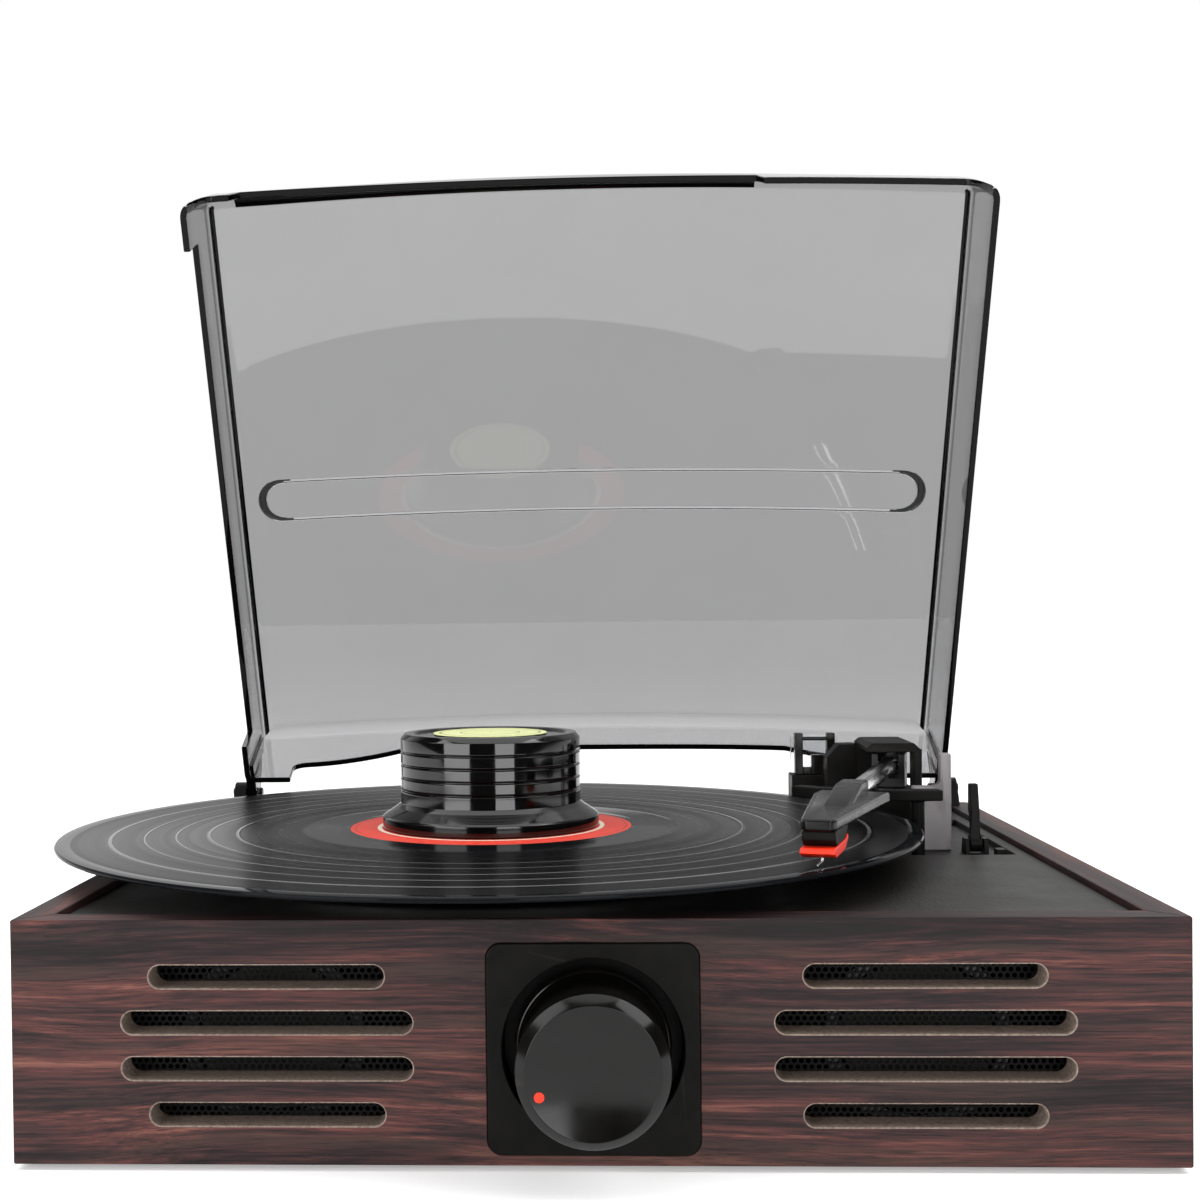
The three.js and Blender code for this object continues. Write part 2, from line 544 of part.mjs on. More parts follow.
function buildHeadshell(swing) {
  const { top, bottom, back, nose, collar, collarTop, collarEnd, spineEnd } = HEADSHELL;
  const plan = outline([
    [-11.4, -back], [12, -back - 2], [11, -back - 10], [5.4, 2.5 - nose], [4, -nose],
    [-4, -nose], [-5.4, 2.5 - nose], [-12.4, -back - 9],
  ]);
  const spine = outline([
    [-back + 1, -collar], [-back + 1, collarTop], [-collarEnd, collarTop],
    [-spineEnd, top - 0.2], [-spineEnd, bottom + 0.2], [-collarEnd, -collar],
  ]);
  const socket = bar('y', ARM.tubeRadius + 0.15, -ARM.tubeEnd - 0.3, -back + 4, [0, 0, 0]);
  const shell = joined(raised(plan, bottom, top), carriedAcross(spine, -collar, collar));
  place('headshell', cut(geometryOf(shell), socket), GLOSS_BLACK, swing);

  const mountTop = bottom - GAP;
  const bodyBottom = mountTop - CARTRIDGE.height;
  const body = outline([
    [-158, mountTop], [-158, mountTop - 2], [-163, bodyBottom],
    [-181, bodyBottom], [-183.6, bodyBottom + 2], [-183.6, mountTop],
  ]);
  place('cartridge', carriedAcross(body, -CARTRIDGE.half, CARTRIDGE.half), SATIN_BLACK, swing);
  const holderTop = bodyBottom - GAP;
  const holderBottom = holderTop - CARTRIDGE.holder;
  const plate = outline([
    [-158.6, holderTop + 1.2], [-162.4, holderTop], [-185.4, holderTop], [-187, holderTop - 1.4],
    [-183, holderBottom], [-166, holderBottom], [-158.2, holderTop - 0.6],
  ]);
  const holderHalf = CARTRIDGE.half + 0.2;
  place('stylus_holder', carriedAcross(plate, -holderHalf, holderHalf), RED_PLASTIC, swing);

  const tip = RECORD.top + 0.06 - ARM.z;
  const { thick, root, rise } = STYLUS;
  const stick = joined(
    block([-thick, thick], [-ARM.length, -root], [tip + rise, tip + rise + 0.4]),
    block([0.05 - thick, thick - 0.05], [-ARM.length, 0.6 - ARM.length], [tip, tip + rise + 0.1]),
    block([-thick, thick], [-root - 1, -root], [tip + rise, holderBottom - GAP]),
  );
  place('stylus', stick, STEEL, swing);
}

function buildLift() {
  const arc = new THREE.Shape();
  const [from, to] = [radians(LIFT.from - 90), radians(LIFT.to - 90)];
  arc.absarc(0, 0, LIFT.outer, from, to);
  arc.absarc(0, 0, LIFT.inner, to, from, true);
  const rail = raised(arc, LIFT.bottom, LIFT.top, 20).translate(ARM.x, ARM.y, 0);
  const post = bar('z', LIFT.post, LIFT.postBottom, LIFT.bottom + 1, [...liftPostPlace(), 0]);
  place('cue_lift_bar', joined(rail, post), GREY_PLASTIC);

  const { x, y, z, tip, half, pin } = LEVER;
  const paddle = outline([
    [y - 2.4, z], [y + 2.4, z], [y + 2.2, z + 9], [y + 4.6, z + 12],
    [y + 4.4, tip], [y + 1.4, tip], [y - 1, z + 12],
  ]);
  const lever = joined(carriedAcross(paddle, x - half, x + half), bar('x', 3, x - 2.2, x + 2.2, [0, y, z]));
  const leverBore = bar('x', pin + GAP, x - 4, x + 4, [0, y, z], 16);
  place('cue_lever', cut(geometryOf(lever), leverBore), SATIN_BLACK);

  const floor = DECK.top - WELL.depth + GAP;
  const { cheekInner, cheekOuter } = LEVER;
  const cheek = outline([[y - 4, floor], [y + 4, floor], [y + 2.4, z + 2.2], [y - 2.4, z + 2.2]]);
  const mount = joined(
    carriedAcross(cheek, x - cheekOuter, x - cheekInner),
    carriedAcross(cheek, x + cheekInner, x + cheekOuter),
    block([x - cheekOuter, x + cheekOuter], [y - 4, y + 4], [floor, floor + 0.4]),
    bar('x', pin, x - cheekOuter + 0.8, x + cheekOuter - 0.8, [0, y, z], 16),
  );
  place('lever_mount', mount, SATIN_BLACK);

  const { button, reach, height, tongue } = SELECTOR;
  const selector = joined(
    block([x + button[0], x + button[1]], [y - reach[1], y - reach[0]], [floor + 0.2, floor + height]),
    block([x + tongue[0], x + tongue[1]], [y - reach[1] + 1.4, y - reach[0] - 1.4], [floor - 5, floor + 1]),
  );
  place('speed_selector', selector, SATIN_BLACK);
}

function buildArmRest() {
  const { distance, left, right, prong, prongTop, cradle, half } = ARM_REST;
  const x = ARM.x + distance * Math.tan(radians(ARM.parkAngle));
  const y = ARM.y - distance;
  const floor = DECK.top - WELL.depth + GAP;
  const seat = ARM.z - ARM.tubeRadius - 0.5;
  const rest = new THREE.Shape();
  rest.moveTo(x - left, floor);
  rest.lineTo(x + right, floor);
  rest.lineTo(x + right, prongTop);
  rest.lineTo(x + right - prong, prongTop);
  rest.lineTo(x + right - prong, seat + cradle);
  rest.absarc(x + right - prong - cradle, seat + cradle, cradle, 0, -Math.PI / 2, true);
  rest.lineTo(x - left, seat);
  place('arm_rest', carriedBack(rest, y - half, y + half, 6), GREY_PLASTIC);
}

function buildRearStand() {
  const { x0, x1, y0, y1, top, fork, post, postTop } = STAND;
  place('stand_base', block([x0, x1], [y0, y1], [DECK.top + GAP, top]), SATIN_BLACK);
  const foot = top + GAP;
  const posts = [y0 + 2, y0 + 7];
  const forkParts = joined(
    block([fork[0], fork[0] + post], posts, [foot, postTop]),
    block([fork[1] - post, fork[1]], posts, [foot, postTop]),
    bar('x', 0.8, fork[0] + 0.4, fork[1] - 0.4, [0, y0 + 4.4, postTop - 2.5], 12),
    block([fork[0] + 0.4, fork[1] - 0.4], [y0 + 2.6, y0 + 6.4], [foot, foot + 2.9]),
    block([fork[1] - 10, fork[1] - 4], [y0 + 1.4, y0 + 5], [foot, foot + 8.4]),
  );
  place('stand_fork', forkParts, SATIN_BLACK);
  const pane = block([fork[0] - 1, fork[1] + 1.6], [y0 + 9, y0 + 11], [foot, postTop - 1.5]);
  place('stand_window', pane, CLEAR_PLASTIC);
}

// ---- lid -------------------------------------------------------------------------------------
// The lid's outside or inside, shut, as the plan outline cut by the crowned cross-section.
function lidBody(inset, bottom) {
  const half = LID.width / 2 - inset;
  const rear = HINGE.rearY - inset;
  const front = HINGE.rearY - LID.depth + inset;
  const radius = LID.corner - inset;
  const plan = new THREE.Shape();
  plan.moveTo(half, rear);
  plan.lineTo(-half, rear);
  plan.lineTo(-half, front + LID.bow + radius);
  plan.absarc(radius - half, front + LID.bow + radius, radius, Math.PI, 1.5 * Math.PI);
  plan.quadraticCurveTo(0, front - LID.bow, half - radius, front + LID.bow);
  plan.absarc(half - radius, front + LID.bow + radius, radius, 1.5 * Math.PI, 2 * Math.PI);
  const section = new THREE.Shape();
  const shoulder = HINGE.rimZ + LID.side - inset;
  section.moveTo(-half, bottom);
  section.lineTo(half, bottom);
  section.lineTo(half, shoulder - radius);
  section.absarc(half - radius, shoulder - radius, radius, 0, Math.PI / 2);
  section.quadraticCurveTo(0, shoulder + 2 * LID.crown, radius - half, shoulder);
  section.absarc(radius - half, shoulder - radius, radius, Math.PI / 2, Math.PI);
  const column = solid(raised(plan, bottom, shoulder + 2 * LID.crown, 10));
  return column.intersect(solid(carriedBack(section, front - 10, rear + 10, 10)));
}

// Moves a point of the lid forward by its draught: nothing at the rear or at the shoulder, all of it
// at the front of the rim.
function leanForward(point) {
  const shoulder = HINGE.rimZ + LID.side;
  const down = Math.max(0, (shoulder - point[2]) / LID.side);
  const ahead = (HINGE.rearY - point[1]) / LID.depth;
  point[1] -= LID.lean * down * ahead;
}

function lidCuts() {
  const rim = HINGE.rimZ;
  const half = LID.width / 2;
  const front = HINGE.rearY - LID.depth;
  const low = rim - 5;
  const { notchLeft, notchRight, notchTop, frontTop, frontHalf, sideTop, sideFront, sideRear } = LID_CUT;
  const wall = new THREE.Shape();
  wall.moveTo(-frontHalf - 5, low);
  wall.lineTo(frontHalf + 5, low);
  wall.quadraticCurveTo(frontHalf + 3, rim + frontTop, frontHalf - 3, rim + frontTop);
  wall.lineTo(notchRight + 2, rim + frontTop);
  wall.lineTo(notchRight, rim + notchTop);
  wall.lineTo(notchLeft, rim + notchTop);
  wall.lineTo(notchLeft - 2, rim + frontTop);
  wall.lineTo(3 - frontHalf, rim + frontTop);
  wall.quadraticCurveTo(-frontHalf - 3, rim + frontTop, -frontHalf - 5, low);
  const frontCut = carriedBack(wall, front - 15, front + LID.bow + LID.skin + 6, 8);
  const lipCut = block([-half - 5, half + 5], [front - 15, front + 0.5], [low, PLINTH.top + 1.2]);
  const leftCut = block([-half - 5, LID.skin + 4 - half], [sideFront, sideRear], [low, rim + sideTop]);

  const { leg, shoulderX, archLow, archHigh, archMiddle } = LID_ARCH;
  const arch = new THREE.Shape();
  arch.moveTo(-leg, low);
  arch.lineTo(leg, low);
  arch.lineTo(leg, rim + archLow - 4);
  arch.quadraticCurveTo(leg, rim + archLow, leg - 6, rim + archLow + 0.5);
  arch.quadraticCurveTo((leg + shoulderX) / 2 - 3, rim + archLow + 2.5, shoulderX, rim + archHigh);
  arch.quadraticCurveTo(shoulderX * 0.7, rim + archMiddle, 0, rim + archMiddle);
  arch.quadraticCurveTo(-shoulderX * 0.7, rim + archMiddle, -shoulderX, rim + archHigh);
  arch.quadraticCurveTo(3 - (leg + shoulderX) / 2, rim + archLow + 2.5, 6 - leg, rim + archLow + 0.5);
  arch.quadraticCurveTo(-leg, rim + archLow, -leg, rim + archLow - 4);
  const rearCut = carriedBack(arch, HINGE.rearY - 6, HINGE.rearY + 2, 8);
  return [frontCut, lipCut, leftCut, rearCut];
}

function lidEar(side) {
  const { y, z, ear, rearY, rimZ } = HINGE;
  const shape = new THREE.Shape();
  shape.moveTo(rearY - 8, rimZ + 1);
  shape.lineTo(rearY - 1, rimZ + 1);
  shape.lineTo(y - 1, z - ear + 0.1);
  shape.absarc(y, z, ear, -Math.PI / 2, 0.6 * Math.PI);
  shape.lineTo(rearY - 8, rimZ + 30);
  const x = side * (LID.width / 2 - 2);
  return carriedAcross(shape, x - 2, x + 2, 10);
}

function buildLid() {
  const swing = new THREE.Group();
  swing.position.set(0, HINGE.y, HINGE.z);
  swing.rotation.x = -radians(LID.open);
  player.add(swing);

  const hollow = lidBody(LID.skin, HINGE.rimZ - 1).warp(leanForward);
  let shell = lidBody(0, HINGE.rimZ).warp(leanForward).subtract(hollow);
  for (const tool of lidCuts()) shell = shell.subtract(solid(tool));
  for (const side of [-1, 1]) shell = shell.add(solid(lidEar(side)));
  const pinHole = bar('x', HINGE.pin + 0.06, -200, 200, [0, HINGE.y, HINGE.z]);
  shell = shell.subtract(solid(pinHole));

  const rail = roundedRectangle(0, RAIL.y, RAIL.length, RAIL.height, RAIL.height / 2 - 0.01);
  const top = HINGE.rimZ + LID.side + LID.crown + 1;
  const recess = solid(raised(rail, HINGE.rimZ + 20, top, 10));
  shell = shell.subtract(recess.intersect(lidBody(LID.skin - RAIL.depth, HINGE.rimZ)));
  const settled = geometryOf(shell).translate(0, -HINGE.y, -HINGE.z);
  place('lid_shell', settled, SMOKED_ACRYLIC, swing);
  buildHinge('left', -1);
  buildHinge('right', 1);
}

function buildHinge(name, side) {
  const { y, z, rearY, pin, bracketTop, bracketWidth, pinHalf } = HINGE;
  const shape = new THREE.Shape();
  shape.moveTo(rearY, PLINTH.top + GAP);
  shape.lineTo(PLINTH.depth, PLINTH.top + GAP);
  shape.lineTo(y + bracketTop, z);
  shape.absarc(y, z, bracketTop, 0, 0.8 * Math.PI);
  const inner = LID.width / 2 + 1;
  const [x0, x1] = [side * inner, side * (inner + bracketWidth)].sort((a, b) => a - b);
  const pinHole = bar('x', pin + 0.04, x0 - 1, x1 + 1, [0, y, z]);
  place(`hinge_bracket_${name}`, cut(carriedAcross(shape, x0, x1, 8), pinHole), SATIN_BLACK);
  place(`hinge_pin_${name}`, bar('x', pin, side * inner - pinHalf, side * inner + pinHalf, [0, y, z]), STEEL);
}

// ---- electronics -----------------------------------------------------------------------------
function buildElectronics() {
  const { x0, x1, y0, y1, bottom, top } = BOARD;
  const pillars = [[x0 + 4, y0 + 4], [x1 - 4, y0 + 4], [x0 + 4, y1 - 4], [x1 - 4, y1 - 4]];
  const board = joined(
    block([x0, x1], [y0, y1], [bottom, top]),
    ...pillars.map(([x, y]) => bar('z', 3, BASE.top + GAP, bottom + 0.5, [x, y, 0], 12)),
    ...BOARD.capacitors.map((at) => bar('z', 6, top - 0.6, BOARD.capacitorTop, [...at, 0], 16)),
    block([26, 52], [150, 158], [top - 0.6, BOARD.sinkTop]),
    block([-22, 10], [180, 196], [top - 0.6, BOARD.chipTop]),
  );
  place('amplifier_board', board, BOARD_GREEN);

  const { x, z, width, height, corner, plate: thickness } = JACKS;
  const back = PLINTH.depth + GAP;
  const plate = carriedBack(roundedRectangle(x, z, width, height, corner), back, back + thickness, 5);
  const phonoAt = [x - 20, x - 4];
  const powerAt = x + 22;
  const holes = [...phonoAt, powerAt].map((at) => bar('y', JACKS.hole, back - 1, back + 3, [at, 0, z]));
  place('jack_plate', cut(plate, ...holes), SATIN_BLACK);

  const socketFront = back - 9;
  const boxY = [socketFront - 6, back - 0.3];
  const sockets = phonoAt.map((at) => bar('y', JACKS.socket, socketFront, back + 9, [at, 0, z]));
  const bores = phonoAt.map((at) => bar('y', 1.7, back - 2, back + 12, [at, 0, z], 16));
  const phono = joined(block([x - 27, x + 3], boxY, [z - 8, z + 8]), ...sockets);
  place('phono_jacks', cut(geometryOf(phono), ...bores), BRASS);
  const inletSleeve = bar('y', JACKS.inlet, back - 1, back + 2.4, [powerAt, 0, z]);
  const inlet = joined(block([powerAt - 8, powerAt + 8], boxY, [z - 7, z + 7]), inletSleeve);
  const inletBore = bar('y', 3.3, back - 8, back + 4, [powerAt, 0, z]);
  place('power_inlet', cut(geometryOf(inlet), inletBore), SATIN_BLACK);
}

buildPlinth();
buildBase();
buildDeck();
buildControls();
buildSpeaker('left', -SLOT.middleX);
buildSpeaker('right', SLOT.middleX);
buildDrive();
buildBelt();
buildPlatter();
buildRecord();
buildWeight();
buildTower();
buildArm();
buildLift();
buildArmRest();
buildRearStand();
buildLid();
buildElectronics();

player.position.copy(FOOTPRINT_MIDDLE).negate();
const turntable = new THREE.Group();
turntable.add(player);

export default turntable;
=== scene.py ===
import json
import math

import bmesh
import bpy
from mathutils import Matrix, Vector

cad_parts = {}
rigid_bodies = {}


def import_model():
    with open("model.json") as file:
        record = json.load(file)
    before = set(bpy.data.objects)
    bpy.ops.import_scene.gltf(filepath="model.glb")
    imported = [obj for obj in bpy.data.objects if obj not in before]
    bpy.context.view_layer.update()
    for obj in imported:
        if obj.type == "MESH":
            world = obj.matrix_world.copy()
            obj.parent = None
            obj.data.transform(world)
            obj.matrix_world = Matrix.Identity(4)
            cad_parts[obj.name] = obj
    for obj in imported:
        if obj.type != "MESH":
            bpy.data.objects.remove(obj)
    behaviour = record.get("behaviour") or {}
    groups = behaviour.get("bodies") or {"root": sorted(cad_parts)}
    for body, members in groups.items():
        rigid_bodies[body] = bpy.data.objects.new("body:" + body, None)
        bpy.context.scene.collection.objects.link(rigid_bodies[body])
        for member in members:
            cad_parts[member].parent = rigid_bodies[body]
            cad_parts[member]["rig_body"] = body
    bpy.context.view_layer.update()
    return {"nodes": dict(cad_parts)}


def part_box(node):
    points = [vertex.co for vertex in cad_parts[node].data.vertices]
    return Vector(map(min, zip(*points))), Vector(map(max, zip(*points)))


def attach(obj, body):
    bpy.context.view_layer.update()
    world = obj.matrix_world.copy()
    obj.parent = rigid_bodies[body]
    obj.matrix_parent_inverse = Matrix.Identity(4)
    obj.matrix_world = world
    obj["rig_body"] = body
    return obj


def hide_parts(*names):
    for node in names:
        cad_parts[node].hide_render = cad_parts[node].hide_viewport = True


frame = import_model()

MM = 0.001
radians = math.radians
scene = bpy.context.scene


# ---- where the CAD pieces are -------------------------------------------------------------------
def middle(node):
    low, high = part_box(node)
    return (low + high) / 2


panel_low, panel_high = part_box("front_panel")
ORIGIN = Vector(((panel_low.x + panel_high.x) / 2, panel_low.y, 0.0))


def measured(point):
    """A point of the row frame, in millimetres from the origin of the layout."""
    return (point - ORIGIN) / MM


def box_mm(node):
    low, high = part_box(node)
    return measured(low), measured(high)


SPINDLE = measured(middle("spindle"))
PIVOT = measured(middle("arm_pin"))
HINGE = measured(middle("hinge_pin_left"))
PLATE = measured(middle("control_plate"))
ARM_ANGLE = 16.4  # degrees, how far the tonearm points in from straight ahead
LID_OPEN = 65.5  # degrees

LAYOUT = Matrix.Translation(ORIGIN) @ Matrix.Scale(MM, 4)
SPINDLE_FRAME = LAYOUT @ Matrix.Translation((SPINDLE.x, SPINDLE.y, 0))
ARM_FRAME = LAYOUT @ Matrix.Translation(PIVOT) @ Matrix.Rotation(radians(-ARM_ANGLE), 4, "Z")
KNOB_FRAME = LAYOUT @ Matrix.Translation((0, 0, PLATE.z)) @ Matrix.Rotation(radians(90), 4, "X")
HINGE_AT = Vector((0, HINGE.y, HINGE.z))
LID_FRAME = (
    LAYOUT
    @ Matrix.Translation(HINGE_AT)
    @ Matrix.Rotation(radians(-LID_OPEN), 4, "X")
    @ Matrix.Translation(-HINGE_AT)
)


# ---- camera -------------------------------------------------------------------------------------
CAMERA_PLACE = (1.51, -459.49, 156.39)
CAMERA_YAW, CAMERA_PITCH, CAMERA_ROLL = 2.53, -0.99, 0.65  # degrees


def make_camera():
    data = bpy.data.cameras.new("view")
    data.sensor_width = 36.0
    data.lens = 49.5
    data.shift_x = 0.0655
    data.shift_y = 0.0349
    data.clip_start = 0.01
    camera = linked("view", data)
    turn = Matrix.Rotation(radians(CAMERA_YAW), 3, "Z")
    turn = turn @ Matrix.Rotation(radians(CAMERA_PITCH), 3, "X")
    turn = turn @ Matrix.Rotation(radians(CAMERA_ROLL), 3, "Y")
    right, ahead, up = turn.col
    axes = Matrix((right, up, -ahead)).transposed().to_4x4()
    camera.matrix_world = Matrix.Translation(LAYOUT @ Vector(CAMERA_PLACE)) @ axes
    scene.camera = camera


# ---- mesh building ------------------------------------------------------------------------------
def linked(name, data):
    piece = bpy.data.objects.new(name, data)
    scene.collection.objects.link(piece)
    return piece


def built(name, points, faces, matrix=LAYOUT):
    mesh = bpy.data.meshes.new(name)
    mesh.from_pydata([tuple(point) for point in points], [], [tuple(face) for face in faces])
    mesh.transform(matrix)
    if matrix.determinant() < 0:
        mesh.flip_normals()
    return linked(name, mesh)


def outward(piece):
    """Turns the faces of a closed piece outward."""
    work = bmesh.new()
    work.from_mesh(piece.data)
    bmesh.ops.recalc_face_normals(work, faces=work.faces)
    work.to_mesh(piece.data)
    work.free()
    return piece


def smoothed(piece, angle=35):
    """Shades the piece smooth up to an angle between its faces, in degrees."""
    piece.data.shade_smooth()
    piece.data.set_sharp_from_angle(angle=radians(angle))
    return piece


def settled(piece):
    """Applies the piece's modifiers."""
    graph = bpy.context.evaluated_depsgraph_get()
    mesh = bpy.data.meshes.new_from_object(piece.evaluated_get(graph))
    piece.modifiers.clear()
    piece.data = mesh
    return piece


def joined_by(piece, operation, *tools):
    """Cuts the tools from the piece, or adds them to it, and removes them."""
    for tool in tools:
        change = piece.modifiers.new("boolean", "BOOLEAN")
        change.operation = operation
        change.solver = "EXACT"
        change.object = tool
        bpy.context.view_layer.update()
        settled(piece)
        bpy.data.objects.remove(tool)
    return piece


def cut(piece, *tools):
    return joined_by(piece, "DIFFERENCE", *tools)


def added(piece, *tools):
    return joined_by(piece, "UNION", *tools)


def bevelled(piece, width, segments=3, angle=32):
    """Rounds the sharp edges of a piece by width mm and keeps its flat faces flat."""
    bevel = piece.modifiers.new("bevel", "BEVEL")
    bevel.width = width * MM
    bevel.segments = segments
    bevel.limit_method = "ANGLE"
    bevel.angle_limit = radians(angle)
    bevel.use_clamp_overlap = False
    bevel.miter_outer = "MITER_ARC"
    settled(piece)
    smoothed(piece, 50)
    even = piece.modifiers.new("even", "WEIGHTED_NORMAL")
    even.keep_sharp = True
    even.weight = 80
    return settled(piece)


def curve(start, control, end, steps):
    """Points along a curve that leaves start and reaches end by way of the control point."""
    start, control, end = Vector(start), Vector(control), Vector(end)
    shares = [k / steps for k in range(steps + 1)]
    return [tuple(start * (1 - t) ** 2 + control * 2 * t * (1 - t) + end * t * t) for t in shares]


def arc(x, y, radius, start, sweep, steps):
    """Points round a centre from the angle start, in degrees."""
    turns = [radians(start + sweep * k / steps) for k in range(steps + 1)]
    return [(x + radius * math.cos(t), y + radius * math.sin(t)) for t in turns]


def circle(x, y, radius, count=64):
    turns = [2 * math.pi * k / count for k in range(count)]
    return [(x + radius * math.cos(t), y + radius * math.sin(t)) for t in turns]


def rounded(points, radius, steps=4):
    """A closed outline with each corner rounded by up to radius."""
    result = []
    for i, corner in enumerate(points):
        corner = Vector(corner)
        before, after = Vector(points[i - 1]) - corner, Vector(points[(i + 1) % len(points)]) - corner
        reach = min(radius, 0.42 * before.length, 0.42 * after.length)
        before, after = before.normalized(), after.normalized()
        if reach < 1e-4 or abs(before.dot(after) + 1) < 1e-4:
            result.append(tuple(corner))
        else:
            result += curve(corner + before * reach, corner, corner + after * reach, steps)
    return result


def lathe(name, profile, matrix, sides=96, closed=False):
    """Turns (radius, height) points about Z. A closed profile is a ring; an open one starts and
    ends on the axis."""
    points, rings, faces = [], [], []
    for r, h in profile:
        if r < 1e-6:
            rings.append([len(points)] * sides)
            points.append((0, 0, h))
        else:
            rings.append(range(len(points), len(points) + sides))
            points += [(x, y, h) for x, y in circle(0, 0, r, sides)]
    pairs = list(zip(rings, rings[1:]))
    if closed:
        pairs.append((rings[-1], rings[0]))
    for low, high in pairs:
        for k in range(sides):
            n = (k + 1) % sides
            face = tuple(dict.fromkeys((low[k], low[n], high[n], high[k])))
            if len(face) > 2:
                faces.append(face)
    return smoothed(outward(built(name, points, faces, matrix)), 32)


AXES = {
    "z": lambda u, v, w: (u, v, w),
    "y": lambda u, v, w: (u, w, v),
    "x": lambda u, v, w: (w, u, v),
}


def prism(name, outline, low, high, axis="z", matrix=LAYOUT):
    """An outline carried along an axis: x-y along z, x-z along y, or y-z along x."""
    put = AXES[axis]
    count = len(outline)
    points = [put(u, v, low) for u, v in outline] + [put(u, v, high) for u, v in outline]
    faces = [tuple(range(count)), tuple(range(2 * count - 1, count - 1, -1))]
    faces += [(k, k + count, (k + 1) % count + count, (k + 1) % count) for k in range(count)]
    return outward(built(name, points, faces, matrix))


def slab(name, x, y, z, matrix=LAYOUT):
    """A box from its (low, high) on each axis."""
    return prism(name, [(x[0], y[0]), (x[1], y[0]), (x[1], y[1]), (x[0], y[1])], z[0], z[1], "z", matrix)


def round_rectangle(x, y, width, height, radius, steps=12):
    points = []
    for sx, sy, start in [(1, -1, -90), (1, 1, 0), (-1, 1, 90), (-1, -1, 180)]:
        cx, cy = x + sx * (width / 2 - radius), y + sy * (height / 2 - radius)
        points += arc(cx, cy, radius, start, 90, steps)
    return points


def refined(node, width=0.35, segments=3, angle=32):
    """A finer copy of a CAD node: its flat facets are merged and its sharp edges are rounded."""
    work = bmesh.new()
    work.from_mesh(frame["nodes"][node].data)
    bmesh.ops.remove_doubles(work, verts=work.verts, dist=1e-6)
    bmesh.ops.dissolve_limit(work, angle_limit=radians(0.5), verts=work.verts, edges=work.edges)
    work.verts.index_update()
    points = [vertex.co.copy() for vertex in work.verts]
    faces = [[vertex.index for vertex in face.verts] for face in work.faces]
    work.free()
    piece = outward(built(node + "_fine", points, faces, Matrix.Identity(4)))
    if width:
        return bevelled(piece, width, segments, angle)
    return smoothed(piece, angle)


def stands_for(piece, look, node):
    """Gives the piece its material and its body, and hides the CAD node that it stands for."""
    piece.data.materials.clear()
    piece.data.materials.append(LOOKS[look])
    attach(piece, frame["nodes"][node]["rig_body"])
    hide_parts(node)
    return piece


def belongs(piece, look, body):
    """Gives the material and the body to a piece that stands for no CAD node."""
    piece.data.materials.clear()
    piece.data.materials.append(LOOKS[look])
    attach(piece, body)
    return piece


# ---- materials ----------------------------------------------------------------------------------
def colour(red, green, blue):
    """A colour given as 0 to 255 sRGB."""
    values = [c / 255 for c in (red, green, blue)]
    return tuple(c / 12.92 if c <= 0.04045 else ((c + 0.055) / 1.055) ** 2.4 for c in values) + (1.0,)


def shade(base, factor, lift=0.0):
    """A darker or lighter colour."""
    return tuple(min(1.0, c * factor + lift) for c in base[:3]) + (1.0,)


def add_node(tree, kind, inputs=None, **settings):
    """Adds a shader node. Each of its inputs is a value or the socket that feeds it."""
    made = tree.nodes.new(kind)
    for key, value in settings.items():
        setattr(made, key, value)
    for key, value in (inputs or {}).items():
        if isinstance(value, bpy.types.NodeSocket):
            tree.links.new(value, made.inputs[key])
        else:
            made.inputs[key].default_value = value
    return made


SOCKETS = {
    "Base_Color": "Base Color",
    "Specular": "Specular IOR Level",
    "Transmission": "Transmission Weight",
    "Coat": "Coat Weight",
    "Sheen": "Sheen Weight",
}


